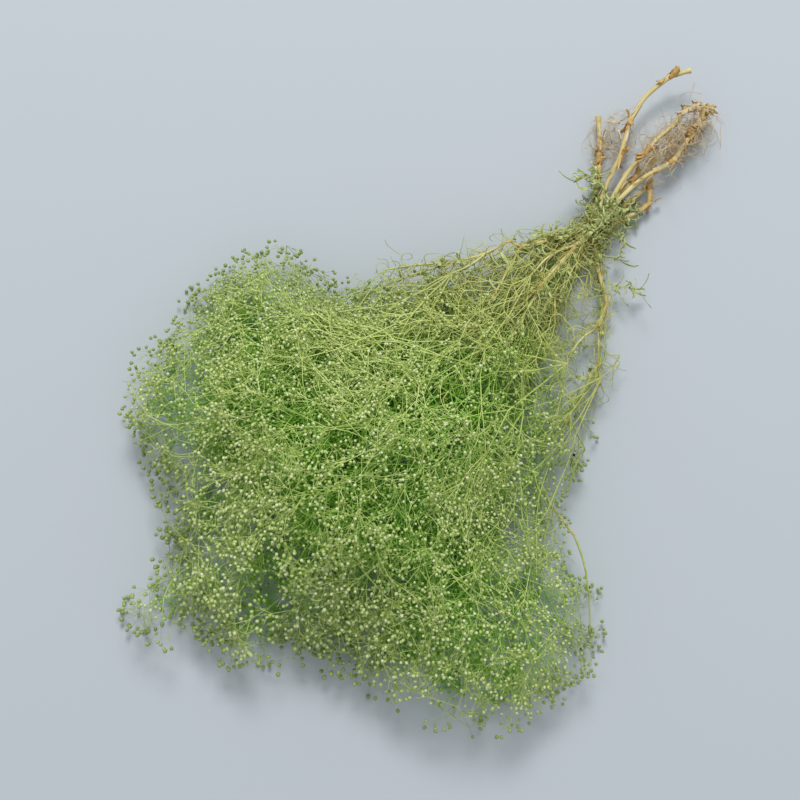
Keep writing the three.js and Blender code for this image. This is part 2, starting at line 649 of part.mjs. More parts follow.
rootTufts.forEach(({ stem, at, out, middle: centre, reach }, i) => {
  const name = `root_tuft_${i + 1}`;
  const draw = drawFrom(tuftSeed + i);
  const { outward, start } = seatOn(stem, vector(at), vector(out));
  const wander = () => vector(centre).add(
    new THREE.Vector3(draw(-1, 1) * reach[0], draw(-1, 1) * reach[1], draw(-1, 1) * reach[2]));
  const main = [start, start.clone().addScaledVector(outward, 1.5)];
  for (let k = 0; k < 5; k++) {
    main.push(vector(centre).add(new THREE.Vector3(
      ((k - 2) / 2) * reach[0], draw(-0.6, 0.6) * reach[1], draw(-0.6, 0.6) * reach[2])));
  }
  main[0].fixed = true;
  const strands = [main];
  for (let f = 1; f < fibresPerTuft; f++) {
    const strand = [main[1 + f]];
    for (let k = 0; k < wispSteps; k++) {
      const goal = wander();
      const from = strand[strand.length - 1];
      strand.push(from.clone().add(goal.sub(from).clampLength(4, 9)));
    }
    strands.push(strand);
  }
  const radiiOf = (strand, f) => strand.map((_, k) => (f > 0 && k === 0 ? rootShare * fibreRadius : fibreRadius));
  strands.forEach((strand, f) => addLinks(strand, radiiOf(strand, f), name, { seat: f === 0 ? stem : null }));
  const build = () => fused(strands.map((strand, f) => sweptTube(
    strand, radiiOf(strand, f), 3, { startWay: f === 0 ? outward : null })));
  pieces.push({ name, material: deadRoot, build });
});

bendClear();

const group = new THREE.Group();
pieces.forEach(({ name, material, build }) => {
  const { vertProperties, triVerts } = build().getMesh();
  const geometry = new THREE.BufferGeometry();
  geometry.setAttribute('position', new THREE.Float32BufferAttribute(vertProperties, 3));
  geometry.setIndex(Array.from(triVerts));
  geometry.translate(-middle.x, -middle.y, -middle.z);
  geometry.computeVertexNormals();
  const mesh = new THREE.Mesh(geometry, material);
  mesh.name = name;
  group.add(mesh);
});

export default group;
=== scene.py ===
# %% [markdown]
# # A bunch of dried broom bloom
# A few whole dried plants lie gathered on a table. Their crooked straw stems come together at a
# leafy neck, and past it they open into a wide, airy cloud of forking sprays, each twig with a
# bud about 2.4 mm wide. The CAD part holds the bunch's true size and its thick, sparse sprays.
# Here each of its pieces is made again as fine as the plant is, with thousands of twigs and buds.

# %% Load the frame
import math

import bpy
import numpy
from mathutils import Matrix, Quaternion, Vector


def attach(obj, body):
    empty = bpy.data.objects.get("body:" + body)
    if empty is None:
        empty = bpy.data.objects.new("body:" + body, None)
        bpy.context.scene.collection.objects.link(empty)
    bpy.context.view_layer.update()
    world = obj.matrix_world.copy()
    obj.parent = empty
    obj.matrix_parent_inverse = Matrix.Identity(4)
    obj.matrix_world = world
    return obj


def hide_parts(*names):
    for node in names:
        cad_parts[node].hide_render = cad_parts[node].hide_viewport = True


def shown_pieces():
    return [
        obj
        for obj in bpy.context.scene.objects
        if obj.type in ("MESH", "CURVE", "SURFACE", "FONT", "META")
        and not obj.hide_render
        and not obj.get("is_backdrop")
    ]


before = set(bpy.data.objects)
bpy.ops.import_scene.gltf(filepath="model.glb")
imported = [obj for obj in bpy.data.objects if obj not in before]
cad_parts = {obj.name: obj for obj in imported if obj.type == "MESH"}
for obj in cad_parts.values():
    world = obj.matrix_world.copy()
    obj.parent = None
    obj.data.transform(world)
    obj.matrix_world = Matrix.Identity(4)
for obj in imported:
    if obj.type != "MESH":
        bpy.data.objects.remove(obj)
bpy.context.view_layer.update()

nodes = sorted(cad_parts)
print("CAD nodes:", len(nodes))

# %% [markdown]
# ## Sizes
# The plant is drawn in millimetres, with the same numbers as its CAD solids, so that each fine
# piece lies where its solid does. Blender counts in metres, and the CAD part's origin is under
# the middle of the bunch, so every point goes through one small function at the end. A second
# one is for what comes on little by little, such as the green along a stem.

# %% Sizes
MM = 0.001
middle = Vector((-0.426, 1.307, 0.879))  # of the bunch as it is drawn, in mm

floor_height = 2.4  # the lowest twigs
crown_height = 104.0  # the highest twigs, whose buds reach 3 mm higher
edge_height = 24.0  # the highest twigs at the cloud's edge
edge_gap = 4.0  # from the cloud's edge to most twigs, whose buds reach it
crown_slope = 0.9

stem_radius = 1.4
trunk_end_radius = 1.05
branch_radius = 0.8
branch_end_radius = 0.5
neck_x = -125.0
trunk_taper = 45.0
twig_radius = 0.46  # a spray's first twig
twig_thinning = 0.85  # from one fork to the next
pedicel_radius = 0.14  # the hair-thin stalk of a bud
bud_width = 2.4
bud_length = 3.7


def metres(point):
    return (Vector(point) - middle) * MM


def share_of(value, none, full):
    """0 as far as there is none, 1 from where it is full, and in even steps between the two."""
    return numpy.clip((value - none) / (full - none), 0, 1)


# %% [markdown]
# ## The camera
# The bunch is looked at from straight above, with its root ends to the upper right. A camera
# that looks down needs no tilt: it is only turned about its own axis. It stands a metre above
# the table, and its lens is chosen so that the picture is 480 mm wide at the height where the
# cloud's edge lies.

# %% The camera
camera_height = 1.0
picture_width = 0.480
edge_level = 0.018
camera_turn = 130.86  # degrees
aim = metres((28.7, -26.4, 0))

lens = bpy.data.cameras.new("camera")
camera = bpy.data.objects.new("camera", lens)
bpy.context.scene.collection.objects.link(camera)
camera.location = (aim.x, aim.y, camera_height)
camera.rotation_euler = (0, 0, math.radians(camera_turn))
lens.sensor_fit = "HORIZONTAL"
lens.angle = 2 * math.atan(picture_width / 2 / (camera_height - edge_level))
bpy.context.scene.camera = camera
bpy.context.scene.view_settings.view_transform = "Standard"
print("lens angle", round(math.degrees(lens.angle), 1))

# %% [markdown]
# ## A seeded draw
# A plant is never regular, but the script has to grow the same one each time. This small
# generator gives the same numbers as the one in the CAD source, so both grow the same sprays.
# Each fork draws from its own seed, which it gets from the fork before it.

# %% A seeded draw
WORD = 0xFFFFFFFF


class Draw:
    def __init__(self, seed):
        self.state = seed & WORD

    def __call__(self, low, high):
        self.state = (self.state + 0x6D2B79F5) & WORD
        t = self.state
        t = ((t ^ (t >> 15)) * (t | 1)) & WORD
        t ^= (t + (((t ^ (t >> 7)) * (t | 61)) & WORD)) & WORD
        return low + (high - low) * ((t ^ (t >> 14)) & WORD) / 4294967296

    def way(self):
        """A direction of any kind."""
        return Vector((self(-1, 1), self(-1, 1), self(-1, 1))).normalized()

    def sign(self):
        return 1 if self(0, 1) < 0.5 else -1


def child_seed(seed, index):
    return (seed * 1664525 + 1013904223 * (index + 1)) & WORD


# %% [markdown]
# ## The cloud
# Seen from above, the flower cloud has an uneven edge, with a spike at one corner. From its
# edge it rises like a low dome. A twig that would leave the cloud is turned back, and how deep
# a bud lies below the dome later decides how much painted shade it gets, as a darker, more
# vivid green.

# %% The cloud
cloud_edge = numpy.array([
    (-112, 2), (-92, -32), (-40, -66), (0, -98), (8, -146), (46, -164), (92, -164), (136, -166),
    (156, -140), (160, -104), (186, -70), (234, -82), (240, -30), (208, -34), (216, -10),
    (220, 18), (186, 24), (172, 50), (176, 100), (160, 136), (128, 164), (76, 168), (36, 134),
    (14, 92), (-30, 74), (-72, 56), (-100, 26)], float)
cloud_middle = Vector((80, -10, 0))
edge_steps = numpy.roll(cloud_edge, -1, axis=0) - cloud_edge
edge_lengths = (edge_steps ** 2).sum(axis=1)
come_back = 0.3  # of the height by which a twig would leave the cloud's top or floor
most_over = 15  # the most that this is taken for
beyond_edge = (-10, 3)  # where twigs are turned back: up to 10 mm outside to 3 mm inside
inner_looseness = 2.2  # the inner twigs are turned back that much earlier
inner_depth = 20
inward_turn = 0.4


def edge_distance(x, y):
    """How far points lie inside the cloud's edge, less than 0 outside it."""
    dx = numpy.asarray(x, float)[..., None] - cloud_edge[:, 0]
    dy = numpy.asarray(y, float)[..., None] - cloud_edge[:, 1]
    along = numpy.clip((dx * edge_steps[:, 0] + dy * edge_steps[:, 1]) / edge_lengths, 0, 1)
    away = numpy.hypot(dx - along * edge_steps[:, 0], dy - along * edge_steps[:, 1])
    next_dy = dy - edge_steps[:, 1]
    rise = numpy.where(edge_steps[:, 1] == 0, 1e-9, edge_steps[:, 1])
    crossed = ((dy < 0) != (next_dy < 0)) & (dx < dy * edge_steps[:, 0] / rise)
    inside = crossed.sum(axis=-1) % 2 == 1
    return numpy.where(inside, 1, -1) * away.min(axis=-1)


def cloud_top(x, y):
    depth = numpy.maximum(edge_distance(x, y), 0)
    return numpy.minimum(crown_height, edge_height + crown_slope * depth)


def inside_by(place):
    """How far one place lies inside the cloud's edge."""
    return float(edge_distance(place.x, place.y))


def top_over(place):
    return float(cloud_top(place.x, place.y))


def kept_in_cloud(end):
    top = top_over(end)
    if end.z < floor_height:
        end.z = floor_height + come_back * min(floor_height - end.z, most_over)
    if end.z > top:
        end.z = top - come_back * min(end.z - top, most_over)
    return end


def twig_end(start, way, size, draw):
    """The end of a twig, turned back at or inside the cloud's edge, some of them well inside."""
    loose = draw(*beyond_edge) + edge_gap
    if loose > 0:
        loose *= 1 + inner_looseness * share_of(inside_by(start), 0, inner_depth)
    end = kept_in_cloud(start + way * size)
    for tries in range(4):
        if inside_by(end) > loose:
            break
        inward = Vector((cloud_middle.x - start.x, cloud_middle.y - start.y, 0)).normalized()
        way = (way + inward * inward_turn).normalized()
        end = kept_in_cloud(start + way * size)
    return end


print("cloud top at its middle", cloud_top(80, -10))

# %% [markdown]
# ## How a spray forks
# Broom bloom forks in pairs. Each pair opens across the last one, and a bud on a stalk of its
# own often stands in the fork. The first of a pair carries the twig on, and the other starts
# its own, so a spray becomes a list of runs, each a chain of points with a thickness. The last
# fork is a little head of three buds. Where a bud sits is kept in a second list. Towards the
# cloud's edge many twigs stop early, so that it thins out there, and near the neck hardly any
# twig bears buds.

# %% How a spray forks
first_twig = 0.21  # a spray's first twig, as a share of the spray's length
twig_ratio = 0.86
shortest_twig = 8.0
shortest_stalk = 9.0
pair_opening = (20, 38)  # degrees between a twig and each of the pair that it forks into
pair_roll = (55, 125)  # degrees that each pair is turned about its twig
head_stalk = (3.2, 5.6)  # the stalks of a last head
last_bare_x, first_full_x = -62, 33  # between them more and more twigs bear buds
fewest_budding = 0.03
first_thinned_fork = 4
edge_thinning = 0.7  # the share of twigs that stop at the cloud's edge
side_thinning = 0.8  # and on its thinnest side


def twig_thickness(fork):
    return max(pedicel_radius, twig_radius * twig_thinning ** (fork - 1))


def bowed(start, end, share, draw):
    """A point near the middle of a twig, a little off its straight line."""
    return start.lerp(end, 0.5) + draw.way() * (end - start).length * share


def budding(place):
    """The share of twigs that bear buds: hardly any at the neck, all of them in the cloud."""
    return max(share_of(place.x, last_bare_x, first_full_x), fewest_budding)


def bare_end(run, start, end, draw):
    """A twig that has lost its buds ends in a small hook."""
    heading = (end - start).normalized()
    across = heading.cross(draw.way()).normalized()
    bend = end + (heading + across * 0.8).normalized() * 2.6
    run.append((end, pedicel_radius * 1.3))
    run.append((bend, pedicel_radius * 1.3))
    run.append((bend + (across - heading * 0.3).normalized() * 2.2, pedicel_radius))


def last_head(spray, run, start, end, seed):
    """The three buds that end a twig."""
    draw = Draw(seed ^ 0x51ED)
    if draw(0, 1) > budding(end):
        bare_end(run, start, end, draw)
        return
    heading = (end - start).normalized()
    fork = start.lerp(end, draw(0.4, 0.6))
    run.append((fork, pedicel_radius))
    run.append((end, pedicel_radius))
    spray["buds"].append((end, heading, seed))
    across = heading.cross(draw.way()).normalized()
    for side in (-1, 1):
        way = (heading + across * side * draw(0.45, 0.9)).normalized()
        tip = fork + way * draw(*head_stalk)
        tip.z = max(tip.z, floor_height * 0.8)
        spray["runs"].append([(fork, pedicel_radius), (tip, pedicel_radius)])
        spray["buds"].append((tip, way, seed + side))


def thinned_out(end, fork, seed):
    """Whether a twig forks no more, which keeps the cloud's edge and one side of it airy."""
    if fork < first_thinned_fork:
        return False
    near_edge = 1 - share_of(inside_by(end), -6, 28)
    airy_side = share_of(end.y - 0.9 * end.x, 10, 50) * share_of(end.x, 70, 20)
    chance = max(edge_thinning * near_edge, side_thinning * airy_side)
    return Draw(seed ^ 0xED6E)(0, 1) < (chance if fork > first_thinned_fork else chance * 0.5)


def grow(spray, run, start, way, plane, size, fork, seed):
    draw = Draw(seed)
    bow = Draw(seed ^ 0xB0)
    end = twig_end(start, way, size * draw(0.82, 1.18), draw)
    heading = (end - start).normalized()
    across = (plane - heading * plane.dot(heading)).normalized()
    thick = twig_thickness(fork)
    if fork == spray["forks"] or thinned_out(end, fork, seed):
        last_head(spray, run, start, end, seed)
        return
    if fork <= 5:
        run.append((bowed(start, end, 0.05, bow), thick))
    run.append((end, thick))
    if fork >= 3:
        tilt = Quaternion(across, draw(-0.35, 0.35)) @ heading
        tip = twig_end(end, tilt, max(shortest_stalk, size * 0.7) * draw(0.8, 1.25), draw)
        spray["runs"].append([(end, pedicel_radius), (tip, pedicel_radius)])
        if Draw(seed ^ 0x7B)(0, 1) < budding(tip):
            spray["buds"].append((tip, (tip - end).normalized(), seed + 7))
    roll = draw(math.radians(pair_roll[0]), math.radians(pair_roll[1]))
    hinge = heading.cross(across).normalized()
    kept_side = seed & 1 if fork > spray["forks"] - 5 else 0
    for side in (0, 1):
        opening = math.radians(draw(*pair_opening)) * spray["spread"]
        child_size = max(shortest_twig, size * twig_ratio * draw(0.88, 1.12))
        child_run = run
        if side != kept_side:
            child_run = [(end, twig_thickness(fork + 1))]
            spray["runs"].append(child_run)
        child_way = Quaternion(hinge, opening if side == 0 else -opening) @ heading
        child_plane = Quaternion(heading, roll) @ across
        grow(spray, child_run, end, child_way, child_plane, child_size, fork + 1,
             child_seed(seed, side))


def grow_spray(base, tip, spread, forks, seed):
    reach = Vector(tip) - base
    way = reach.normalized()
    plane = way.cross(Vector((0, 0, 1))).normalized()
    plane = Quaternion(way, Draw(seed ^ 0x9E3779B9)(-0.5, 0.5)) @ plane
    trunk = [(base, twig_thickness(1))]
    spray = {"runs": [trunk], "buds": [], "spread": spread, "forks": forks}
    grow(spray, trunk, base, way, plane, reach.length * first_twig, 1, seed)
    return spray


# %% [markdown]
# ## Where the stems run
# Six plants lie in the bunch. Each is a list of routes: the first starts at the root end, and a
# later one leaves a point of an earlier one. The nodes, where a stem is swollen and kinked, are
# the numbers of points of the route. A route with a tip carries a spray that reaches for it.

# %% Where the stems run
stems = {
    "stem_1": [
        {"points": [(-235, -24, 19), (-224, -31, 18), (-206, -34, 16), (-190, -32, 15), (-169, -22, 16),
                    (-150, -17, 14), (-125, -7.4, 10.55), (-102, -22, 17), (-88, -31.5, 22)],
         "nodes": [1, 3, 4, 7, 8]},
        {"points": [(-88, -31.5, 22), (-86, -39, 24), (-71, -45, 25), (-54, -56, 26), (-32, -70, 25),
                    (-4, -84, 20)], "nodes": [1, 3], "tip": (60, -150, 22), "spread": 1, "forks": 8},
        {"points": [(-54, -56, 26), (-38, -72, 27), (-24, -84, 25)],
         "tip": (10, -150, 26), "spread": 0.8, "forks": 7},
        {"points": [(-71, -45, 25), (-60, -47, 31), (-48, -52, 34)],
         "tip": (26, -84, 42), "spread": 1, "forks": 8},
        {"points": [(-88, -31.5, 22), (-55, -25, 33), (-32, -21, 41), (-18, -24, 46)], "nodes": [1, 2],
         "tip": (84, -40, 90), "spread": 1.15, "forks": 8},
        {"points": [(-32, -21, 41), (-20, -36, 42), (4, -58, 41)],
         "tip": (100, -110, 62), "spread": 1.1, "forks": 8},
        {"points": [(-20, -36, 42), (-24, -47, 43)], "tip": (55, -104, 60), "spread": 1.1, "forks": 8},
    ],
    "stem_2": [
        {"points": [(-180, -48, 8), (-169, -37, 9), (-156, -27, 10), (-140, -15, 9),
                    (-125, -8.94, 7.95), (-88, -20, 12)], "nodes": [1, 2, 5]},
        {"points": [(-88, -20, 12), (-50, -42, 15), (-10, -62, 17), (28, -84, 16)], "nodes": [1, 2],
         "tip": (116, -158, 18), "spread": 1, "forks": 8},
        {"points": [(-50, -42, 15), (-10, -48, 19), (50, -68, 21)], "nodes": [1],
         "tip": (150, -132, 24), "spread": 1, "forks": 8, "also": [(176, -92, 20)]},
        {"points": [(-88, -20, 12), (-30, -28, 14), (40, -46, 14), (106, -62, 13)], "nodes": [1, 2],
         "tip": (234, -62, 14), "spread": 0.8, "forks": 8, "also": [(212, -44, 18), (228, -78, 12)]},
    ],
    "stem_3": [
        {"points": [(-226, -3, 12), (-220, -0.5, 12.5), (-212, 1, 13), (-203, 2, 14), (-189, 4, 16),
                    (-178, 0.5, 18), (-168, -3, 19), (-150, -5.5, 17), (-125, -5.86, 13.15),
                    (-112, -7, 17), (-80, -8, 28)], "nodes": [3, 4, 9, 10]},
        {"points": [(-226, -3, 12), (-217, -10, 13), (-204, -10, 13), (-192, -12, 13), (-181, -12, 14),
                    (-168, -12.5, 14), (-142, -8, 12), (-125, -4.32, 10.55), (-85, -2, 18)],
         "thick": True, "nodes": [4, 8]},
        {"points": [(-80, -8, 28), (-42, -1, 39), (-20, 6, 46)], "nodes": [1],
         "tip": (84, 28, 90), "spread": 1.15, "forks": 8},
        {"points": [(-80, -8, 28), (-30, -10, 36), (10, -8, 42), (42, -5, 46)], "nodes": [1, 2],
         "tip": (156, 10, 68), "spread": 1.1, "forks": 8},
        {"points": [(-30, -10, 36), (0, -26, 38), (34, -38, 44)],
         "tip": (146, -62, 66), "spread": 1.1, "forks": 8, "also": [(172, -88, 28), (196, -46, 26)]},
        {"points": [(-85, -2, 18), (-40, 12, 30), (24, 28, 43)], "nodes": [1],
         "tip": (126, 78, 62), "spread": 1.1, "forks": 8},
        {"points": [(-40, 12, 30), (-14, 32, 37)], "tip": (70, 104, 52), "spread": 1.1, "forks": 8},
        {"points": [(-85, -2, 18), (-66, 14, 24)], "tip": (8, 44, 46), "spread": 1, "forks": 8},
        {"points": [(-112, -7, 17), (-95, -15, 25), (-78, -16, 31)],
         "tip": (20, -16, 58), "spread": 1.1, "forks": 8},
    ],
    "stem_4": [
        {"points": [(-184, -4, 6), (-168, -7, 7), (-142, -7, 7.5), (-125, -5.86, 7.95), (-84, -10, 9)],
         "nodes": [1, 4]},
        {"points": [(-84, -10, 9), (-30, -14, 12), (40, -24, 14), (100, -30, 17)], "nodes": [1, 2],
         "tip": (216, 6, 16), "spread": 0.9, "forks": 8},
        {"points": [(-30, -14, 12), (10, -6, 13), (48, -4, 14)],
         "tip": (126, -30, 24), "spread": 1.2, "forks": 8},
    ],
    "stem_5": [
        {"points": [(-172, 1, 9), (-166, 5, 9), (-161, 10, 8.5), (-155, 9, 8), (-140, 3, 8),
                    (-125, 0.3, 7.95), (-111, 10, 12), (-97, 30, 14), (-83, 35, 15)],
         "nodes": [1, 2, 6, 7, 8]},
        {"points": [(-83, 35, 15), (-66, 50, 15), (-60, 56, 15)], "nodes": [1],
         "tip": (-10, 72, 18), "spread": 0.7, "forks": 7},
        {"points": [(-83, 35, 15), (-70, 32, 19), (-52, 34, 23)],
         "tip": (26, 84, 26), "spread": 0.9, "forks": 7},
        {"points": [(-66, 50, 15), (-30, 57, 14), (8, 64, 15)], "nodes": [1],
         "tip": (84, 156, 18), "spread": 0.9, "forks": 8},
    ],
    "stem_6": [
        {"points": [(-172, 3, 2.2), (-150, 0, 5), (-125, -2.78, 7.95), (-84, 6, 10)], "nodes": [1, 3]},
        {"points": [(-84, 6, 10), (-20, 26, 13), (30, 36, 15), (64, 44, 18)], "nodes": [1, 2],
         "tip": (172, 108, 18), "spread": 1, "forks": 8},
        {"points": [(-84, 6, 10), (-20, 14, 11), (40, 10, 13), (76, 12, 15)], "nodes": [1, 2],
         "tip": (184, 44, 18), "spread": 1, "forks": 8},
        {"points": [(-20, 26, 13), (16, 46, 15), (42, 58, 17)],
         "tip": (140, 150, 20), "spread": 1, "forks": 8},
    ],
}
print("routes:", sum(len(routes) for routes in stems.values()))

# %% [markdown]
# ## Shared parts of the finishes
# Every surface of a dry plant is mottled, and no two stretches are the same colour. One node
# group mixes two colours by a noise, and all the finishes use it, each with its own colours and
# scale. Colours are typed as they look on a screen and turned to the linear values that
# Blender's shaders take.

# %% Shared parts of the finishes
def screen(red, green, blue):
    """A colour seen on a screen, 0 to 255, as the linear colour that a shader takes."""
    def linear(value):
        value /= 255
        return value / 12.92 if value <= 0.04045 else ((value + 0.055) / 1.055) ** 2.4
    return (linear(red), linear(green), linear(blue), 1)


def mottle_group():
    group = bpy.data.node_groups.new("dry mottle", "ShaderNodeTree")
    sockets = group.interface
    sockets.new_socket("Vector", in_out="INPUT", socket_type="NodeSocketVector")
    sockets.new_socket("Scale", in_out="INPUT", socket_type="NodeSocketFloat")
    sockets.new_socket("Light", in_out="INPUT", socket_type="NodeSocketColor")
    sockets.new_socket("Dark", in_out="INPUT", socket_type="NodeSocketColor")
    sockets.new_socket("Color", in_out="OUTPUT", socket_type="NodeSocketColor")
    sockets.new_socket("Height", in_out="OUTPUT", socket_type="NodeSocketFloat")
    nodes, links = group.nodes, group.links
    inputs = nodes.new("NodeGroupInput")
    outputs = nodes.new("NodeGroupOutput")
    noise = nodes.new("ShaderNodeTexNoise")
    noise.inputs["Detail"].default_value = 4
    spread = nodes.new("ShaderNodeMapRange")
    spread.inputs["From Min"].default_value = 0.35
    spread.inputs["From Max"].default_value = 0.65
    mix = nodes.new("ShaderNodeMix")
    mix.data_type = "RGBA"
    links.new(inputs.outputs["Vector"], noise.inputs["Vector"])
    links.new(inputs.outputs["Scale"], noise.inputs["Scale"])
    links.new(noise.outputs["Fac"], spread.inputs["Value"])
    links.new(spread.outputs["Result"], mix.inputs["Factor"])
    links.new(inputs.outputs["Light"], mix.inputs["A"])
    links.new(inputs.outputs["Dark"], mix.inputs["B"])
    links.new(mix.outputs["Result"], outputs.inputs["Color"])
    links.new(noise.outputs["Fac"], outputs.inputs["Height"])
    return group


mottle = mottle_group()


def new_finish(name, roughness):
    """A material with its shader, and the way to its nodes and links."""
    material = bpy.data.materials.new(name)
    material.use_nodes = True
    nodes, links = material.node_tree.nodes, material.node_tree.links
    shader = nodes["Principled BSDF"]
    shader.inputs["Roughness"].default_value = roughness
    return material, nodes, links, shader


def add_mottle(nodes, links, scale, light, dark, stretch=(1, 1, 1)):
    """The mottle group on the object's own coordinates, stretched along each axis."""
    place = nodes.new("ShaderNodeTexCoord")
    mapping = nodes.new("ShaderNodeMapping")
    mapping.inputs["Scale"].default_value = stretch
    use = nodes.new("ShaderNodeGroup")
    use.node_tree = mottle
    use.inputs["Scale"].default_value = scale
    use.inputs["Light"].default_value = light
    use.inputs["Dark"].default_value = dark
    links.new(place.outputs["Object"], mapping.inputs["Vector"])
    links.new(mapping.outputs["Vector"], use.inputs["Vector"])
    return use


def add_mix(nodes, links, attribute, first, second):
    """A colour, or another node's output, laid over a first one as far as an attribute says."""
    share = nodes.new("ShaderNodeAttribute")
    share.attribute_name = attribute
    mix = nodes.new("ShaderNodeMix")
    mix.data_type = "RGBA"
    links.new(share.outputs["Fac"], mix.inputs["Factor"])
    for socket, value in (("A", first), ("B", second)):
        if isinstance(value, tuple):
            mix.inputs[socket].default_value = value
        else:
            links.new(value, mix.inputs[socket])
    return mix.outputs["Result"]


def add_bump(nodes, links, shader, height, strength, distance):
    bump = nodes.new("ShaderNodeBump")
    bump.inputs["Strength"].default_value = strength
    bump.inputs["Distance"].default_value = distance
    links.new(height, bump.inputs["Height"])
    links.new(bump.outputs["Normal"], shader.inputs["Normal"])


# %% [markdown]
# ## The finishes
# Straw stems are yellow, with orange-brown at their nodes, and turn green towards the flowers.
# Twigs and buds that lie deep in the cloud get painted shade: a darker, vivid green, as if lit
# by light that has passed through the others. Those near the top keep the pale colour, and those
# at the cloud's edge get a painted shade of greyer olive green. A bud is palest at its tip. How
# much of each colour a point gets is written on the mesh as an attribute, and the materials only read
# it.

# %% The finishes
fibre_stretch = (0.15, 1, 1)  # the streaks of a stem run along X


def straw_finish():
    material, nodes, links, shader = new_finish("straw stem", 0.55)
    straw = add_mottle(nodes, links, 260, screen(228, 214, 154), screen(200, 178, 110), fibre_stretch)
    green = add_mottle(nodes, links, 300, screen(190, 204, 120), screen(160, 178, 90), fibre_stretch)
    body = add_mix(nodes, links, "greening", straw.outputs["Color"], green.outputs["Color"])
    knots = add_mix(nodes, links, "knot", body, screen(200, 154, 82))
    links.new(knots, shader.inputs["Base Color"])
    add_bump(nodes, links, shader, straw.outputs["Height"], 0.5, 0.0004)
    return material


def twig_finish():
    material, nodes, links, shader = new_finish("spray twig", 0.6)
    pale = add_mottle(nodes, links, 120, screen(216, 230, 144), screen(194, 212, 112))
    # painted shade: the deeper below the dome, the darker and more vivid the green
    painted_deep_shade = add_mix(nodes, links, "depth", pale.outputs["Color"], screen(150, 210, 74))
    # painted shade at the cloud's edge, a darker, greyer olive
    painted_rim_shade = add_mix(nodes, links, "painted_rim_shade", painted_deep_shade, screen(158, 176, 104))
    color = add_mix(nodes, links, "straw", painted_rim_shade, screen(208, 204, 120))
    links.new(color, shader.inputs["Base Color"])
    return material


def bud_finish():
    material, nodes, links, shader = new_finish("bud skin", 0.5)
    skin = add_mottle(nodes, links, 700, screen(202, 216, 136), screen(178, 196, 106))
    cream = add_mix(nodes, links, "tint", skin.outputs["Color"], screen(230, 234, 192))
    base = add_mix(nodes, links, "tip", screen(172, 194, 98), cream)
    # painted shade: the deeper below the dome, the darker and more vivid the green
    painted_deep_shade = add_mix(nodes, links, "depth", base, screen(140, 192, 60))
    # painted shade at the cloud's edge, a darker, greyer olive
    color = add_mix(nodes, links, "painted_rim_shade", painted_deep_shade, screen(132, 150, 78))
    links.new(color, shader.inputs["Base Color"])
    return material


def leaf_finish():
    material, nodes, links, shader = new_finish("dry leaf", 0.7)
    leaf = add_mottle(nodes, links, 240, screen(208, 214, 148), screen(172, 184, 108))
    links.new(leaf.outputs["Color"], shader.inputs["Base Color"])
    add_bump(nodes, links, shader, leaf.outputs["Height"], 0.4, 0.0003)
    return material


def root_finish():
    material, nodes, links, shader = new_finish("dead root fibre", 0.85)
    fibre = add_mottle(nodes, links, 180, screen(230, 216, 184), screen(200, 172, 124))
    links.new(fibre.outputs["Color"], shader.inputs["Base Color"])
    return material


straw_stem = straw_finish()
spray_twig = twig_finish()
bud_skin = bud_finish()
dry_leaf = leaf_finish()
dead_root = root_finish()

# %% [markdown]
# ## Making a mesh of runs
# A twig is a thin round thread along a line, which is what a curve with a bevel makes. All the
# runs of a spray are splines of one curve, each point with its own radius, and the curve is
# then made a mesh. Three sides are enough for a thread of half a millimetre. Each piece rides
# on the bunch's one body, takes its finish, and may stand for a CAD node, whose solid is hidden.

# %% Making a mesh of runs
def section(sides):
    """A closed outline of few sides and a radius of 1 mm, which a curve carries along it."""
    data = bpy.data.curves.new(f"section of {sides}", "CURVE")
    spline = data.splines.new("POLY")
    spline.points.add(sides - 1)
    for number, point in enumerate(spline.points):
        angle = -2 * math.pi * number / sides
        point.co = (MM * math.cos(angle), MM * math.sin(angle), 0, 1)
    spline.use_cyclic_u = True
    outline = bpy.data.objects.new(data.name, data)
    bpy.context.scene.collection.objects.link(outline)
    return outline


def new_curve(name, outline, resolution=1):
    data = bpy.data.curves.new(name, "CURVE")
    data.dimensions = "3D"
    data.bevel_mode = "OBJECT"
    data.bevel_object = outline
    data.resolution_u = resolution
    data.use_fill_caps = True
    return data


three_sided = section(3)
eight_sided = section(8)
lowest = 0.00005  # in metres: no point of a piece is lower


def add_run(data, run):
    spline = data.splines.new("POLY")
    spline.points.add(len(run) - 1)
    for point, (place, radius) in zip(spline.points, run):
        point.co = (*metres(place), 1)
        point.radius = radius


def made_mesh(name, data, material):
    piece = bpy.data.objects.new(name, data)
    bpy.context.scene.collection.objects.link(piece)
    bpy.ops.object.select_all(action="DESELECT")
    piece.select_set(True)
    bpy.context.view_layer.objects.active = piece
    bpy.ops.object.convert(target="MESH")
    piece = bpy.context.view_layer.objects.active
    piece.name = name
    piece.data.materials.clear()
    piece.data.materials.append(material)
    piece.data.shade_smooth()
    places = mesh_places(piece)
    places[:, 2] = numpy.maximum(places[:, 2], lowest)
    piece.data.vertices.foreach_set("co", places.ravel())
    return piece


def mesh_places(piece):
    places = numpy.empty(len(piece.data.vertices) * 3)
    piece.data.vertices.foreach_get("co", places)
    return places.reshape(-1, 3)


def drawn_places(piece):
    """Where a mesh's points lie, in the millimetres that the plant is drawn in."""
    return mesh_places(piece) / MM + numpy.array(middle)


def set_attribute(piece, name, values):
    """A value for each point of a mesh, or the same one for all of them."""
    attribute = piece.data.attributes.new(name, "FLOAT", "POINT")
    attribute.data.foreach_set("value", numpy.full(len(piece.data.vertices), values, numpy.float32))


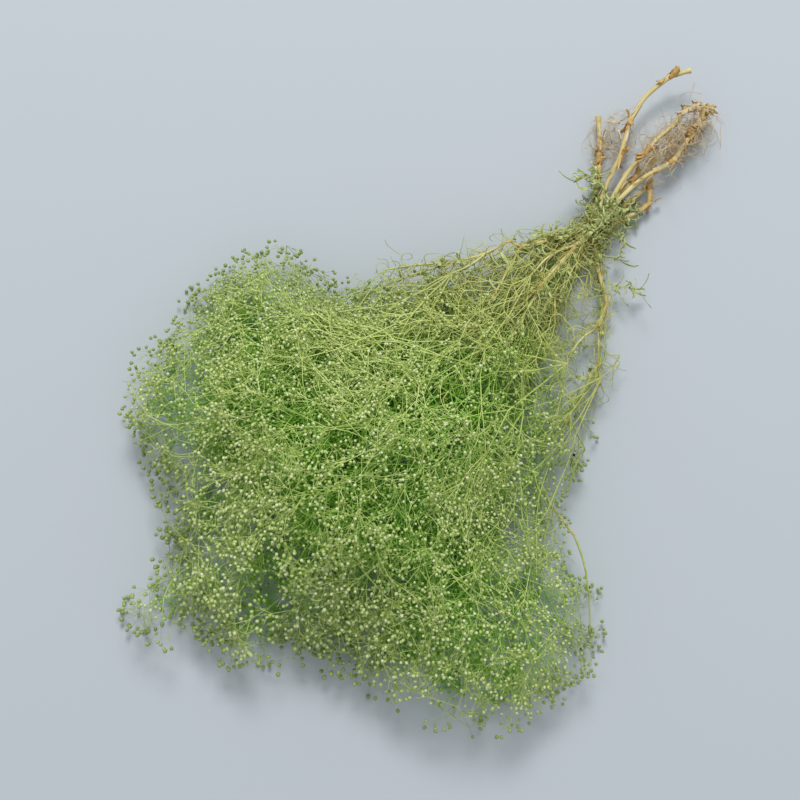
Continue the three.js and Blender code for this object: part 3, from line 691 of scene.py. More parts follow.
def set_shades(piece):
    """Where each point lies in the cloud, as three shares that its colour is mixed by: how deep it lies
    below the dome, for painted shade; how near the edge, for painted shade there; and how near the
    neck, for straw.
    """
    places = drawn_places(piece)
    edge = edge_distance(places[:, 0], places[:, 1])
    below = cloud_top(places[:, 0], places[:, 1]) - places[:, 2]
    # painted shade, by how deep each point lies below the dome
    set_attribute(piece, "depth", share_of(below, 4, 44))
    # painted shade at the cloud's edge, strongest at and outside it
    set_attribute(piece, "painted_rim_shade", numpy.clip(0.85 - edge / 26, 0, 0.8))
    set_attribute(piece, "straw", numpy.minimum(share_of(places[:, 0], 10, -100), 0.75))


def placed(piece, slot, *replaced):
    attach(piece, "root")
    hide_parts(*replaced)
    return piece


def threads(name, runs, finish, slot, *replaced):
    """One piece with a thread along each of the runs."""
    data = new_curve(name, three_sided)
    for run in runs:
        add_run(data, run)
    piece = made_mesh(name, data, finish)
    if finish is spray_twig:
        set_shades(piece)
    return placed(piece, slot, *replaced)


# %% [markdown]
# ## One bud
# A bud is a small drop: a plump belly near its stalk, drawn out to a pointed tip. It is modelled
# once, from a sphere of few faces, because the bunch has more than twenty thousand of them. The
# pole at its top is pulled to a point, the ring under it is narrowed, and the lower ring is
# widened into the belly. Both rings are raised a little. Buds near the cloud's edge and towards
# the flowers' end are riper, so they are larger and more of them are pale.

# %% One bud
shoulder = 0.8  # the upper ring's width, of the sphere's
belly = 1.16  # the lower ring's
bud_sizes = (0.6, 0.96)  # of the modelled one
edge_growth = 0.24  # how much larger a bud is at the cloud's edge
ripe_growth = 0.26  # and where all are ripe
rim_width = 24
unripe_x, ripe_x = 60, 190


def select_between(piece, low, high):
    """Selects the points of a mesh in edit mode whose height lies between two values."""
    bpy.ops.object.mode_set(mode="OBJECT")
    for vertex in piece.data.vertices:
        vertex.select = low <= vertex.co.z <= high
    bpy.ops.object.mode_set(mode="EDIT")


def model_bud():
    bpy.ops.object.select_all(action="DESELECT")
    radius = bud_width / 2
    bpy.ops.mesh.primitive_uv_sphere_add(segments=5, ring_count=3, radius=radius)
    bud = bpy.context.object
    bud.name = "bud"
    bpy.ops.object.mode_set(mode="EDIT")
    bpy.ops.mesh.select_mode(type="VERT")
    select_between(bud, radius * 0.9, radius * 1.1)
    bpy.ops.transform.translate(value=(0, 0, bud_length - bud_width))
    select_between(bud, radius * 0.4, radius * 0.6)
    bpy.ops.transform.resize(value=(shoulder, shoulder, 1))
    bpy.ops.transform.translate(value=(0, 0, radius * 0.2))
    select_between(bud, -radius * 0.6, -radius * 0.4)
    bpy.ops.transform.resize(value=(belly, belly, 1))
    bpy.ops.transform.translate(value=(0, 0, radius * 0.16))
    bpy.ops.mesh.select_all(action="SELECT")
    bpy.ops.mesh.quads_convert_to_tris()
    bpy.ops.transform.translate(value=(0, 0, radius))
    bpy.ops.object.mode_set(mode="OBJECT")
    corners = numpy.array([vertex.co for vertex in bud.data.vertices])
    faces = numpy.array([face.vertices for face in bud.data.polygons])
    bpy.data.objects.remove(bud)
    return corners, faces


bud_corners, bud_faces = model_bud()
print("a bud has", len(bud_faces), "faces")


def turned(way, roll):
    """The rows of the matrix that turns +Z to a way, after a roll about it."""
    turn = Vector((0, 0, 1)).rotation_difference(way) @ Quaternion((0, 0, 1), roll)
    return numpy.array(turn.to_matrix())


def near_rim(place):
    """1 at the cloud's edge and 0 well inside it."""
    return 1 - share_of(inside_by(place), 0, rim_width)


def scattered_buds(name, buds):
    """One mesh of a bud at each of the places, each with its own size, roll and tint."""
    corners, tints = [], []
    for place, way, seed in buds:
        draw = Draw(seed ^ 0xB1D)
        ripe = share_of(place.x, unripe_x, ripe_x)
        size = draw(*bud_sizes) + edge_growth * near_rim(place) + ripe_growth * ripe
        corners.append((bud_corners * size) @ turned(way, draw(0, 6.28)).T + numpy.array(place))
        tints.append(draw(0, 1) ** (3 - 1.4 * ripe))
    corners = numpy.concatenate(corners)
    corners[:, 2] = numpy.maximum(corners[:, 2], middle.z + lowest / MM)
    steps = numpy.arange(len(buds))[:, None, None] * len(bud_corners)
    faces = (bud_faces[None] + steps).reshape(-1, 3)
    mesh = bpy.data.meshes.new(name)
    mesh.from_pydata(((corners - numpy.array(middle)) * MM).tolist(), [], faces.tolist())
    piece = bpy.data.objects.new(name, mesh)
    bpy.context.scene.collection.objects.link(piece)
    mesh.materials.append(bud_skin)
    mesh.shade_smooth()
    tips = numpy.clip(bud_corners[:, 2] / bud_length, 0, 1)
    set_attribute(piece, "tip", numpy.tile(tips, len(buds)))
    set_attribute(piece, "tint", numpy.repeat(tints, len(bud_corners)))
    set_shades(piece)
    return piece


# %% [markdown]
# ## The sprays
# Each route with a tip carries a spray. Its twigs are one mesh and its buds another, and both
# stand for the same CAD solid. A spray grows on from the end of its branch, in line with it.
# Lesser sprays from the same place fill the cloud beside it and below it, down to the surface,
# and hair-thin bare twigs curl away from some of its forks.

# %% The sprays
spray_seed = 1000
spray_seed_step = 77
seat_gap = 0.3
side_sprays_inside = 26  # a lesser spray's tip lies at least so far inside the cloud's edge
under_sprays_inside = 30
hair_share = 0.17  # of the twigs, which have a hair at their end
hair_inside = 8  # a hair starts at least so far inside the cloud's edge
hair_end_inside = 5  # and stops before it comes nearer to it
hair_steps = 4
spray_count = 0
bud_count = 0


def side_sprays(base, tip, seed):
    """The tips of two lesser sprays from the same base, where they stay well inside the cloud."""
    reach = Vector(tip) - base
    draw = Draw(seed ^ 0x51DE)
    tips = []
    for side in (-1, 1):
        turn = Quaternion((0, 0, 1), side * draw(0.35, 0.65))
        side_tip = base + turn @ reach * draw(0.7, 0.95)
        side_tip.z += draw(-12, 18)
        if inside_by(side_tip) > side_sprays_inside:
            tips.append(side_tip)
    return tips


def under_sprays(base, tip, seed):
    """The tips of lesser sprays that fill the cloud below the others, down to the surface."""
    reach = Vector(tip) - base
    draw = Draw(seed ^ 0xDE)
    tips = []
    for number in range(2):
        under_tip = base + Quaternion((0, 0, 1), draw(-0.6, 0.6)) @ reach * draw(0.6, 0.9)
        under_tip.z = draw(4, 0.4 * top_over(under_tip))
        if inside_by(under_tip) > under_sprays_inside:
            tips.append(under_tip)
    return tips


def grown_from(base, route, seed):
    """All that grows from one branch's end."""
    spray = grow_spray(base, route["tip"], route["spread"], route["forks"], seed)
    side_tips = side_sprays(base, route["tip"], seed) + route.get("also", [])
    side_tips += under_sprays(base, route["tip"], seed)
    for number, tip in enumerate(side_tips):
        side = grow_spray(base, tip, route["spread"], route["forks"] - 1, seed + 11 + number)
        spray["runs"] += side["runs"]
        spray["buds"] += side["buds"]
    return spray


def hair_twigs(runs, seed):
    """Hair-thin bare twigs that curl away from some of a spray's forks and fill it."""
    draw = Draw(seed ^ 0x4A17)
    hairs = []
    for run in runs:
        place = Vector(run[-1][0])
        if draw(0, 1) > hair_share or inside_by(place) < hair_inside:
            continue
        way = draw.way()
        turn = Quaternion(draw.way(), draw(0.3, 0.8) * draw.sign())
        hair = [(place, pedicel_radius * 1.5)]
        for step in range(hair_steps):
            place = kept_in_cloud(place + way * draw(3.5, 6.5))
            if inside_by(place) < hair_end_inside:
                break
            hair.append((place, pedicel_radius * 1.3))
            way = turn @ way
        if len(hair) > 1:
            hairs.append(hair)
    return hairs


for routes in stems.values():
    for route in routes:
        if "tip" not in route:
            continue
        end = Vector(route["points"][-1])
        outward = (end - Vector(route["points"][-2])).normalized()
        seed = spray_seed + spray_count * spray_seed_step
        spray_count += 1
        name = f"spray_{spray_count:02d}"
        spray = grown_from(end + outward * seat_gap, route, seed)
        spray["runs"][0].insert(0, (end, branch_end_radius * 0.9))
        twigs = spray["runs"] + hair_twigs(spray["runs"], seed)
        threads(name + "_twigs", twigs, spray_twig, "flower_spray", name)
        placed(scattered_buds(name + "_buds", spray["buds"]), "flower_spray", name)
        bud_count += len(spray["buds"])
print(spray_count, "sprays with", bud_count, "buds")

# %% [markdown]
# ## The stems
# A stem bends gently between its nodes and kinks at them. On a Bezier curve the first is a
# point with automatic handles and the second one with straight handles. Two points close to a
# node hold the swelling to a few millimetres. Where a branch leaves its stem, its first point
# lies in the stem's own middle, so that no gap shows.

# %% The stems
node_swell = 1.4
node_length = 2.4
end_flare = 1.5  # of the root end, where the stem meets its root


def route_radius(point, position, last, trunk):
    if not trunk:
        return branch_radius + (branch_end_radius - branch_radius) * position / last
    past = share_of(point.x, neck_x, neck_x + trunk_taper)
    return stem_radius + (trunk_end_radius - stem_radius) * past


def route_spots(route, trunk):
    """The points along a route, each with its thickness and whether it is a kink."""
    points = [Vector(point) for point in route["points"]]
    spots = []
    for position, point in enumerate(points):
        radius = route_radius(point, position, len(points) - 1, trunk)
        node = position in route.get("nodes", [])
        if trunk and position == 0:
            spots.append((point, radius * end_flare, True))
            point = point.lerp(points[1], 0.25)
        if node and position > 0:
            back = (points[position - 1] - point).normalized()
            spots.append((point + back * node_length, radius, True))
        spots.append((point, radius * (node_swell if node else 1), node))
        if node and position < len(points) - 1:
            ahead = (points[position + 1] - point).normalized()
            spots.append((point + ahead * node_length, radius, True))
    return spots


def add_route(data, spots):
    spline = data.splines.new("BEZIER")
    spline.bezier_points.add(len(spots) - 1)
    for bend, (point, radius, kink) in zip(spline.bezier_points, spots):
        bend.co = metres(point)
        bend.radius = radius
        bend.handle_left_type = "VECTOR" if kink else "AUTO"
        bend.handle_right_type = "VECTOR" if kink else "AUTO"


def set_straw(piece, knot, greening):
    """How brown a straw piece is, as at a node, and how green, for each point or for all."""
    set_attribute(piece, "knot", knot)
    set_attribute(piece, "greening", greening)


def near_knots(piece, knots):
    """How near each point of a mesh is to a node: 1 at it, and 0 from 3.5 mm away."""
    places = drawn_places(piece)
    away = numpy.full(len(places), 9.0)
    for knot in knots:
        away = numpy.minimum(away, numpy.linalg.norm(places - numpy.array(knot), axis=1))
    return numpy.clip(1.1 - away / 3.2, 0, 1)


for name, routes in stems.items():
    data = new_curve(name + "_straw", eight_sided, resolution=6)
    knots = []
    for route in routes:
        trunk = route is routes[0] or route.get("thick", False)
        add_route(data, route_spots(route, trunk))
        knots += [route["points"][number] for number in route.get("nodes", [])]
    piece = made_mesh(name + "_straw", data, straw_stem)
    greening = numpy.minimum(share_of(drawn_places(piece)[:, 0], -110, 10), 0.85)
    set_straw(piece, near_knots(piece, knots), greening)
    placed(piece, "straw_stem", name)
    print(name, len(piece.data.polygons), "faces")

# %% [markdown]
# ## One leaf
# The leaves at the neck are narrow, keeled and curled like dry grass. One is modelled flat: a
# small plate with a crease down its middle is extruded step by step, each step a little wider
# and then narrower, to a point, and gets its thickness. Each copy is then curled and twisted by
# its own amount, as no two dry leaves curl alike.

# %% One leaf
leaf_length = 13.0
leaf_width = 2.1
leaf_paper = 0.16
leaf_keel = 0.16  # how deep its crease is, of its width
leaf_foot = 0.4  # how wide it starts, of its width
leaf_steps = (1.9, 1.0, 0.2)  # how much wider each further step is than the one before


def model_leaf():
    bpy.ops.object.select_all(action="DESELECT")
    step = leaf_length / 4
    bpy.ops.mesh.primitive_grid_add(x_subdivisions=2, y_subdivisions=1, size=1, location=(0, 0, 0))
    leaf = bpy.context.object
    leaf.name = "leaf"
    bpy.ops.object.mode_set(mode="EDIT")
    bpy.ops.mesh.select_mode(type="VERT")
    bpy.ops.transform.resize(value=(leaf_width * leaf_foot, step, 1))
    bpy.ops.transform.translate(value=(0, step / 2, 0))
    bpy.ops.object.mode_set(mode="OBJECT")
    for vertex in leaf.data.vertices:
        if abs(vertex.co.x) < 0.01:
            vertex.co.z = -leaf_width * leaf_keel
        vertex.select = vertex.co.y > step * 0.9
    bpy.ops.object.mode_set(mode="EDIT")
    for wider in leaf_steps:
        bpy.ops.mesh.extrude_region_move(TRANSFORM_OT_translate={"value": (0, step, 0)})
        bpy.ops.transform.resize(value=(wider, 1, 1))
    bpy.ops.object.mode_set(mode="OBJECT")
    paper = leaf.modifiers.new("paper", "SOLIDIFY")
    paper.thickness = leaf_paper
    paper.offset = 0
    bpy.ops.object.modifier_apply(modifier="paper")
    bpy.ops.object.mode_set(mode="EDIT")
    bpy.ops.mesh.select_all(action="SELECT")
    bpy.ops.mesh.normals_make_consistent(inside=False)
    bpy.ops.mesh.quads_convert_to_tris()
    bpy.ops.object.mode_set(mode="OBJECT")
    corners = numpy.array([vertex.co for vertex in leaf.data.vertices])
    faces = numpy.array([face.vertices for face in leaf.data.polygons])
    bpy.data.objects.remove(leaf)
    return corners, faces


leaf_corners, leaf_faces = model_leaf()
print("a leaf has", len(leaf_faces), "faces")


def curled(corners, curl, twist):
    """A leaf's corners bent into an arc along its length and twisted about it."""
    share = corners[:, 1] / leaf_length
    angle = curl * share
    turn = twist * share
    across = corners[:, 0] * numpy.cos(turn) - corners[:, 2] * numpy.sin(turn)
    above = corners[:, 0] * numpy.sin(turn) + corners[:, 2] * numpy.cos(turn)
    if abs(curl) < 0.01:
        return numpy.stack([across, corners[:, 1], above], axis=1)
    radius = leaf_length / curl
    along = numpy.sin(angle) * (radius - above)
    lift = radius - numpy.cos(angle) * (radius - above)
    return numpy.stack([across, along, lift], axis=1)


def leaves_of(name, corners, material):
    """A piece of many leaves, each given by its corners in drawn millimetres."""
    places = (numpy.concatenate(corners) - numpy.array(middle)) * MM
    places[:, 2] = numpy.maximum(places[:, 2], lowest)
    firsts = numpy.arange(len(corners))[:, None, None] * len(leaf_corners)
    mesh = bpy.data.meshes.new(name)
    mesh.from_pydata(places.tolist(), [], (leaf_faces[None] + firsts).reshape(-1, 3).tolist())
    mesh.materials.append(material)
    mesh.shade_smooth()
    piece = bpy.data.objects.new(name, mesh)
    bpy.context.scene.collection.objects.link(piece)
    return piece


def laid(shape, foot, way, up):
    """Corners turned so that their Y runs along a way and their Z to up, and set at a foot."""
    way = Vector(way).normalized()
    side = way.cross(Vector(up)).normalized()
    return shape @ numpy.array([side, way, side.cross(way)]) + numpy.array(foot)


def laid_leaf(foot, way, up, length, width, curl, twist):
    """One leaf's corners where it grows: from its foot along a way, its upper side to up."""
    shape = curled(leaf_corners, curl, twist) * numpy.array([width, length, width])
    return laid(shape, foot, way, up)


# %% [markdown]
# ## The leafy shoots
# Short shoots with pairs of leaves stand at the neck, and each stands for its CAD solid, drawn
# with the same seeds. Loose leaves of the same kind lie between the stems all along the neck,
# most of them pointing towards the flowers.

# %% The leafy shoots
def place_along(points, share):
    """The place at a share of the length of a chain of points."""
    lengths = [(Vector(end) - Vector(start)).length for start, end in zip(points, points[1:])]
    goal = share * sum(lengths)
    for start, end, length in zip(points, points[1:], lengths):
        if goal <= length:
            return Vector(start).lerp(Vector(end), goal / length)
        goal -= length
    return Vector(points[-1])


leafy_shoots = [
    {"at": (-158, -19, 15), "out": (0.1, -0.6, 0.8), "way": (0.8, -0.35, 0.45), "reach": 26},
    {"at": (-150, -5.5, 17), "out": (0.1, 0.2, 1), "way": (0.75, -0.1, 0.5), "reach": 28},
    {"at": (-140, 3, 8), "out": (0.1, 0.9, 0.4), "way": (0.8, 0.45, 0.3), "reach": 26},
    {"at": (-113, -15, 14), "out": (0.1, -0.8, 0.6), "way": (0.85, -0.5, 0.1), "reach": 30},
    {"at": (-102, -7.5, 20), "out": (0.1, 0.7, 0.7), "way": (0.8, 0.35, 0.4), "reach": 30},
    {"at": (-104, 20, 13), "out": (-0.8, 0.6, 0.3), "way": (-0.5, 0.85, 0.1), "reach": 20},
]
shoot_seed = 500
leaf_pairs = 3
shoot_leaf_width = 0.8  # of the modelled leaf's
shoot_curl = 3.6
small_leaves = 12

for number, shoot in enumerate(leafy_shoots):
    name = f"leafy_shoot_{number + 1}"
    draw = Draw(shoot_seed + number)
    heading = Vector(shoot["way"]).normalized()
    outward = Vector(shoot["out"]).normalized()
    axis = [Vector(shoot["at"]), Vector(shoot["at"]) + outward * 3.4]
    for pair in range(leaf_pairs):
        stretch = shoot["reach"] / leaf_pairs * draw(0.85, 1.15)
        bend = Vector((draw(-0.25, 0.25), draw(-0.25, 0.25), draw(-0.15, 0.2)))
        axis.append(axis[-1] + (heading + bend).normalized() * stretch)
    corners = []
    for pair in range(leaf_pairs):
        foot = axis[pair + 2]
        along = (foot - axis[pair + 1]).normalized()
        across = along.cross(Vector((0, 0, 1))).normalized()
        across = Quaternion(along, pair * math.pi / 2 + draw(-0.4, 0.4)) @ across
        for side in (1, -1):
            long, curl = draw(0.8, 1.2), draw(-0.5, 0.9)
            way = along * 0.75 + across * side
            up = way.cross(along.cross(across)) * side
            corners.append(laid_leaf(foot, way, up, long, shoot_leaf_width,
                                     -curl * shoot_curl, curl * 2))
    small = Draw(shoot_seed * 3 + number)
    for leaf in range(small_leaves):
        foot = place_along(axis[1:], small(0, 0.95))
        corners.append(laid_leaf(foot, heading + small.way() * 0.9, small.way(), small(0.3, 0.6),
                                 shoot_leaf_width, small(-3.5, 3.5), small(-1.6, 1.6)))
    placed(leaves_of(name + "_leaves", corners, dry_leaf), "leafy_shoot", name)
    stalk = [(point, 0.5 - 0.06 * spot) for spot, point in enumerate(axis)]
    threads(name + "_stalk", [stalk], dry_leaf, "leafy_shoot", name)

# %% [markdown]
# ## Leaves between the stems
# A loose leaf starts on a stem, at a place drawn along its routes, and heads along the stem and
# away from it. They lie thickest at the neck and thin out towards the flowers.

# %% Leaves between the stems
leaf_zones = {(-160, -98): 340, (-128, -20): 260}  # from X to X, and how many leaves


def stretches_in(zone):
    """The straight stretches of all routes that lie in a zone of X."""
    found = []
    for routes in stems.values():
        for route in routes:
            for start, end in zip(route["points"], route["points"][1:]):
                if zone[0] <= start[0] <= zone[1] and zone[0] <= end[0] <= zone[1]:
                    found.append((Vector(start), Vector(end)))
    return found


def drawn_foot(stretches, draw):
    """A place on one of the stretches, longer ones drawn more often, and the stretch's way."""
    lengths = [(end - start).length for start, end in stretches]
    goal = draw(0, sum(lengths))
    for (start, end), length in zip(stretches, lengths):
        if goal <= length:
            break
        goal -= length
    return start.lerp(end, goal / length), (end - start).normalized()


draw = Draw(2024)
corners = []
for zone, leaves in leaf_zones.items():
    stretches = stretches_in(zone)
    for number in range(leaves):
        foot, along = drawn_foot(stretches, draw)
        foot = foot + draw.way() * draw(0, 3.5)
        way = along + draw.way() * draw(0.35, 1.1)
        corners.append(laid_leaf(foot, way, draw.way(), draw(0.35, 0.8), draw(0.7, 1.5),
                                 draw(2, 5.5) * draw.sign(), draw(-1.6, 1.6)))
placed(leaves_of("neck_leaves", corners, dry_leaf), "leafy_shoot")
print("loose leaves:", len(corners))

# %% [markdown]
# ## Side shoots
# Past the neck, small curly shoots stand all along the stems and branches. They fork like the
# sprays but only a few times, so the same function grows them.

# %% Side shoots
shoot_every = 8.0
shoot_zone = (-122, 40)
shoot_reach = (26, 52)
shoot_spread = 1.25
shoot_forks = 4
seed_range = (1, 9e6)

shoots = {"runs": [], "buds": []}
draw = Draw(77)
for start, end in stretches_in(shoot_zone):
    along = (end - start).normalized()
    steps = int((end - start).length / shoot_every)
    for number in range(steps):
        foot = start.lerp(end, (number + draw(0, 1)) / max(steps, 1))
        way = (along + draw.way() * 0.9).normalized()
        reach = draw(*shoot_reach)
        seed = int(draw(*seed_range))
        shoot = grow_spray(foot, foot + way * reach, shoot_spread, shoot_forks, seed)
        shoots["runs"] += shoot["runs"]
        shoots["buds"] += shoot["buds"]
thinner = [[(place, max(pedicel_radius, radius * 0.8)) for place, radius in run]
           for run in shoots["runs"]]
threads("side_shoots_twigs", thinner, spray_twig, "flower_spray")
placed(scattered_buds("side_shoots_buds", shoots["buds"]), "flower_spray")
print("side shoots:", len(shoots["buds"]), "buds")

# %% [markdown]
# ## Curls
# Dry side twigs that have lost their leaves curl up like tendrils. They fill the neck and the
# branches. Each is a short thread whose heading turns a little at every step.

# %% Curls
curl_zones = {(-150, -84): 220, (-128, 10): 520}
curl_steps = 8
curl_lowest = 1.4


def curl_run(foot, way, draw):
    """A thread that coils and drifts away from its foot."""
    turn = Quaternion(draw.way(), draw(0.35, 0.9) * draw.sign())
    step = draw(1.6, 3.4)
    run = [(foot, 0.3)]
    for number in range(curl_steps):
        foot = foot + way * step
        foot.z = max(foot.z, curl_lowest)
        run.append((foot, 0.27 - 0.014 * number))
        way = (turn @ way + draw.way() * 0.2).normalized()
    return run


draw = Draw(606)
curls = []
for zone, count in curl_zones.items():
    stretches = stretches_in(zone)
    for number in range(count):
        foot, along = drawn_foot(stretches, draw)
        curls.append(curl_run(foot, (along + draw.way()).normalized(), draw))
threads("curls", curls, spray_twig, "flower_spray")
print("curls:", len(curls))

# %% [markdown]
# ## Fine stems
# Between the six thick stems run many thin ones, straw-green and nearly straight, from the neck
# to where the sprays begin. Each follows a thick stem and its branch at first and parts from
# them further on.

# %% Fine stems
fine_stems = 90
fine_points = 14
fine_start_x = -160  # they start on their stem, past this X
cloud_start_x = -92  # and from here on end at the cloud's edge
fine_lowest = 1.6
draw = Draw(4242)
branches = [(routes[0], route) for routes in stems.values() for route in routes if "tip" in route]


def picked(items, draw):
    return items[int(draw(0, len(items)) % len(items))]


def companion(trunk, branch, draw):
    """A thin stem that follows a thick one from the neck, and parts from it further on."""
    lead = [point for point in trunk["points"] if point[0] > fine_start_x][:3]
    points = lead + [point for point in branch["points"] if point[0] > lead[-1][0] + 8]
    away = Vector((draw(-1, 1), draw(-1, 1), draw(-0.6, 0.6))) * draw(8, 24)
    start, end = draw(0, 0.2), draw(0.75, 1)
    run = []
    for step in range(fine_points):
        share = step / (fine_points - 1)
        place = place_along(points, start + (end - start) * share)
        place += away * share ** 1.3 + draw.way() * (1.0 + 1.2 * share)
        if place.x > cloud_start_x and inside_by(place) < 3:
            break
        place.z = min(max(place.z, fine_lowest), max(top_over(place) - 2, 20))
        run.append((place, 0.5 - 0.28 * share))
    return run


fine_runs = [companion(*picked(branches, draw), draw) for number in range(fine_stems)]
fine_piece = threads("fine_stems", fine_runs, straw_stem, "straw_stem")
set_straw(fine_piece, 0, share_of(drawn_places(fine_piece)[:, 0], -150, -90))
print("fine stems:", len(fine_runs))

# %% [markdown]
# ## The branch at the edge
# One long bare branch bends round the cloud's edge, with a kink at each of its nodes, and forks
# once. It is as thick as the other branches, so it is a curve of eight sides.

# %% The branch at the edge
edge_branch = [(8, 64, 15), (17, 83, 19), (22, 106, 22), (30, 120, 22), (44, 137, 20), (58, 150, 16)]
edge_fork = [(17, 83, 19), (34, 92, 26), (52, 100, 28)]
edge_kinks = (1, 2, 4)
edge_curve = new_curve("edge_branch", eight_sided, resolution=4)
add_route(edge_curve, [(Vector(point), 0.8 - 0.06 * number, number in edge_kinks)
                       for number, point in enumerate(edge_branch)])
add_route(edge_curve, [(Vector(point), 0.45 - 0.06 * number, False)
                       for number, point in enumerate(edge_fork)])
edge_piece = made_mesh("edge_branch", edge_curve, straw_stem)
set_straw(edge_piece, 0.4 * near_knots(edge_piece, edge_branch[1:3]), 0.8)
placed(edge_piece, "straw_stem")
print("edge branch:", len(edge_piece.data.polygons), "faces")

# %% [markdown]
# ## Sprays over the top
# Some slender sprays cross the top of the cloud and fork there. Each starts high above the end
# of a branch and heads for a place on the dome.

# %% Sprays over the top
over_stems = 48
over_spread = 0.75
over_forks = 4
over = {"runs": [], "buds": []}
for number in range(over_stems):
    foot = Vector(picked(branches, draw)[1]["points"][-1])
    goal = Vector((draw(10, 215), draw(-150, 150), 0))
    if inside_by(goal) < 12:
        continue
    goal.z = top_over(goal)
    foot.z = max(foot.z, 0.75 * top_over(foot))
    seed = int(draw(*seed_range))
    spray = grow_spray(foot, foot + (goal - foot) * 1.35, over_spread, over_forks, seed)
    over["runs"] += spray["runs"]
    over["buds"] += spray["buds"]
threads("over_stems_twigs", over["runs"], spray_twig, "flower_spray")
placed(scattered_buds("over_stems_buds", over["buds"]), "flower_spray")
print(len(over["buds"]), "buds over the cloud")

# %% [markdown]
# ## Dead roots
# Grey-tan fibres are left between the root ends, like torn net. Each tuft is many hair-thin
# runs that wander about its middle, with a few papery scraps of leaf among them.

# %% Dead roots
root_tufts = [
    {"middle": (-174, -34, 9), "reach": (16, 9, 6), "fibres": 45},
    {"middle": (-188, -5, 13), "reach": (24, 7, 6), "fibres": 110},
    {"middle": (-206, 0, 12), "reach": (20, 7, 6), "fibres": 90},
]
fibre_steps = 9
fibre_lowest = 1.2
scraps_per_tuft = 12


def wander(tuft, draw):
    """A run that wanders through a tuft, mostly along the stems."""
    centre, reach = Vector(tuft["middle"]), tuft["reach"]

    def somewhere():
        return centre + Vector([draw(-1, 1) * side for side in reach])

    place = somewhere()
    way = Vector((draw(-1, 1) * 2, draw(-1, 1), draw(-1, 1) * 0.5)).normalized()
    run = [(place, draw(0.08, 0.22))]
    for step in range(fibre_steps):
        way = (way + (somewhere() - place).normalized() * 0.45 + draw.way() * 0.5).normalized()
        place = place + way * draw(2, 4.5)
        place.z = max(place.z, fibre_lowest)
        run.append((place, run[0][1]))
    return run


for number, tuft in enumerate(root_tufts):
    name = f"root_tuft_{number + 1}"
    draw = Draw(900 + number)
    fibres = [wander(tuft, draw) for fibre in range(tuft["fibres"])]
    threads(name + "_fibres", fibres, dead_root, "dead_root", name)
    corners = []
    for scrap in range(scraps_per_tuft):
        foot = wander(tuft, draw)[2][0]
        corners.append(laid_leaf(foot, draw.way(), draw.way(), draw(0.25, 0.5), draw(0.6, 1.1),
                                 draw(-3, 3), draw(-2, 2)))
    placed(leaves_of(name + "_scraps", corners, dead_root), "dead_root", name)
    print(name, len(fibres), "fibres")

# %% [markdown]
# ## Torn skin
# At the root ends the stems' dry outer skin has split into strips, which lie along them. Torn
# papery sheaths stand round the nodes, brown as the nodes are, and the thick crown where two
# stems meet is wrapped in them. All are copies of the modelled leaf, each drawn as long and as
# wide as the scrap that it is.

# %% Torn skin
skin_zone = (-226, -128)
root_zone_end = -118
wrap_radius = 1.7  # of the stem that a scrap is wrapped round
crown = [(-205, 3, 14), (-213, 2, 13), (-221, 0, 12.5), (-226, -3, 12), (-221, -8, 13),
         (-214, -11, 13)]


def strip_corners(count, seed):
    """Long narrow strips that lie on the stems."""
    draw = Draw(seed)
    stretches = stretches_in(skin_zone)
    corners = []
    for number in range(count):
        foot, along = drawn_foot(stretches, draw)
        outward = along.cross(draw.way()).normalized()
        foot = foot + outward * draw(0.9, 1.4)
        way = along + outward * draw(-0.05, 0.16)
        corners.append(laid_leaf(foot, way, outward, draw(0.4, 1.0), draw(0.35, 0.85), -draw(0, 0.5),
                                 draw(-1.5, 1.5)))
    return corners


def hugging_scrap(place, along, draw, length, width):
    """A wide scrap wrapped round a stem like bark, its tip a little loose."""
    outward = along.cross(draw.way()).normalized()
    shape = curled(leaf_corners, draw(0, 0.9), 0) * numpy.array([width, length, 0.6])
    reach = draw(1.4, 1.9) + shape[:, 2]
    angle = shape[:, 0] / wrap_radius
    wrapped = numpy.stack([reach * numpy.sin(angle), shape[:, 1], reach * numpy.cos(angle)], axis=1)
    return laid(wrapped, place, along * draw.sign(), outward)


def sheath_corners(per_node, seed):
    """Short wide scraps round each node of the bare stems."""
    draw = Draw(seed)
    corners = []
    for routes in stems.values():
        for route in routes:
            points = [Vector(point) for point in route["points"]]
            for node in route.get("nodes", []):
                if points[node].x > root_zone_end or node + 1 == len(points):
                    continue
                along = (points[node + 1] - points[node]).normalized()
                for number in range(per_node):
                    place = points[node] + along * draw(-3, 3)
                    corners.append(hugging_scrap(place, along, draw, draw(0.3, 0.7), draw(0.9, 1.8)))
    return corners


def crown_corners(count, seed):
    """Wide crumpled scraps about the crown and along the strand below it."""
    draw = Draw(seed)
    corners = []
    for number in range(count):
        share = draw(0, 0.95)
        place = place_along(crown, share)
        along = (place_along(crown, share + 0.05) - place).normalized()
        place = place + draw.way() * draw(0, 1.2)
        corners.append(hugging_scrap(place, along, draw, draw(0.3, 0.6), draw(1.2, 2.4)))
    return corners


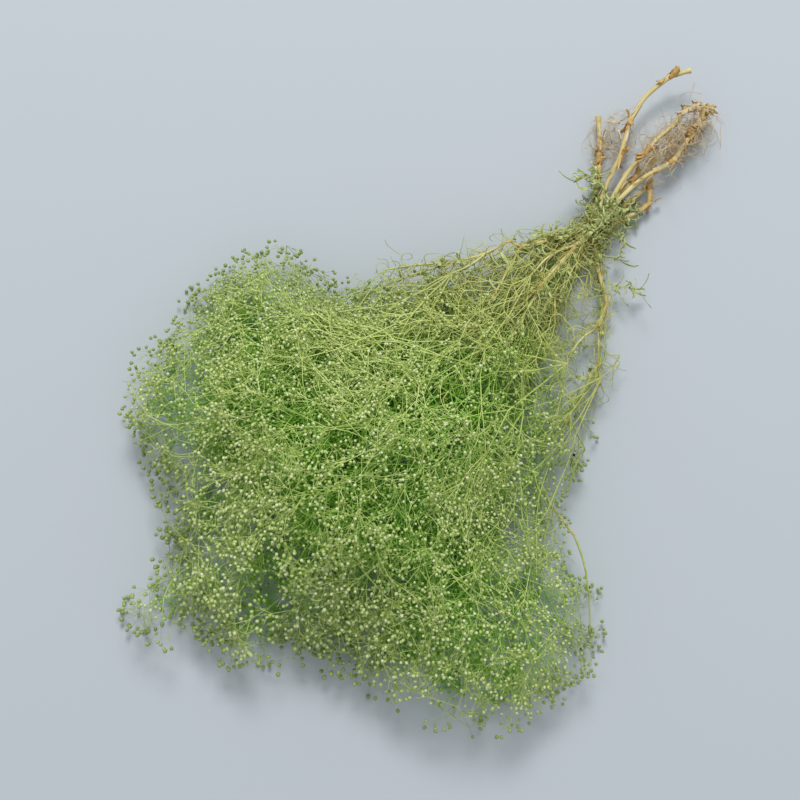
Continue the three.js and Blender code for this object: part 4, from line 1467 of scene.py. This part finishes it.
for name, corners, knot in (("torn_strips", strip_corners(110, 31), 0.25),
                            ("node_sheaths", sheath_corners(6, 33), 0.85),
                            ("crown_skin", crown_corners(36, 35), 0.6)):
    scraps = placed(leaves_of(name, corners, straw_stem), "straw_stem")
    set_straw(scraps, knot, 0)
    print(name, len(corners))
for name, corners in (("crown_scraps", crown_corners(44, 34)),
                      ("papery_strips", strip_corners(60, 32))):
    placed(leaves_of(name, corners, dead_root), "dead_root")
    print(name, len(corners))

# %% [markdown]
# ## The floor and the light
# The bunch lies on a plain pale surface, under wide soft light from above and a little from one
# side. A broad lamp gives soft shadows, and the pale sky of the world fills them.

# %% The floor and the light
floor_color = screen(191, 198, 204)
sky_color = (0.92, 0.955, 0.985, 1)
sky_strength = 0.53
lamp_width = 1.1
lamp_power = 89
lamp_place = (-1.8, -1.5, 2.7)
lamp_aim = Vector((0, 0, 0.03))

bpy.ops.object.select_all(action="DESELECT")
bpy.ops.mesh.primitive_plane_add(size=6, location=(0, 0, 0))
floor = bpy.context.object
floor.name = "floor"
floor_finish, _, _, shader = new_finish("pale card", 0.9)
shader.inputs["Base Color"].default_value = floor_color
floor.data.materials.append(floor_finish)
floor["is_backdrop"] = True

world = bpy.data.worlds.new("sky")
bpy.context.scene.world = world
world.use_nodes = True
sky = world.node_tree.nodes["Background"]
sky.inputs["Color"].default_value = sky_color
sky.inputs["Strength"].default_value = sky_strength

lamp = bpy.data.lights.new("softbox", "AREA")
lamp.size = lamp_width
lamp.energy = lamp_power
softbox = bpy.data.objects.new("softbox", lamp)
bpy.context.scene.collection.objects.link(softbox)
softbox.location = lamp_place
softbox.rotation_euler = (lamp_aim - softbox.location).to_track_quat("-Z", "Y").to_euler()
print("lamp", lamp_power, "W, sky", sky_strength)

# %% [markdown]
# ## Finish
# The two outlines that the curves carried are removed, and the triangles of all the shown
# pieces are counted and printed.

# %% Finish
for outline in (three_sided, eight_sided):
    bpy.data.objects.remove(outline)
triangles = sum(len(face.vertices) - 2 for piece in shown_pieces() for face in piece.data.polygons)
print("triangles in all:", triangles)
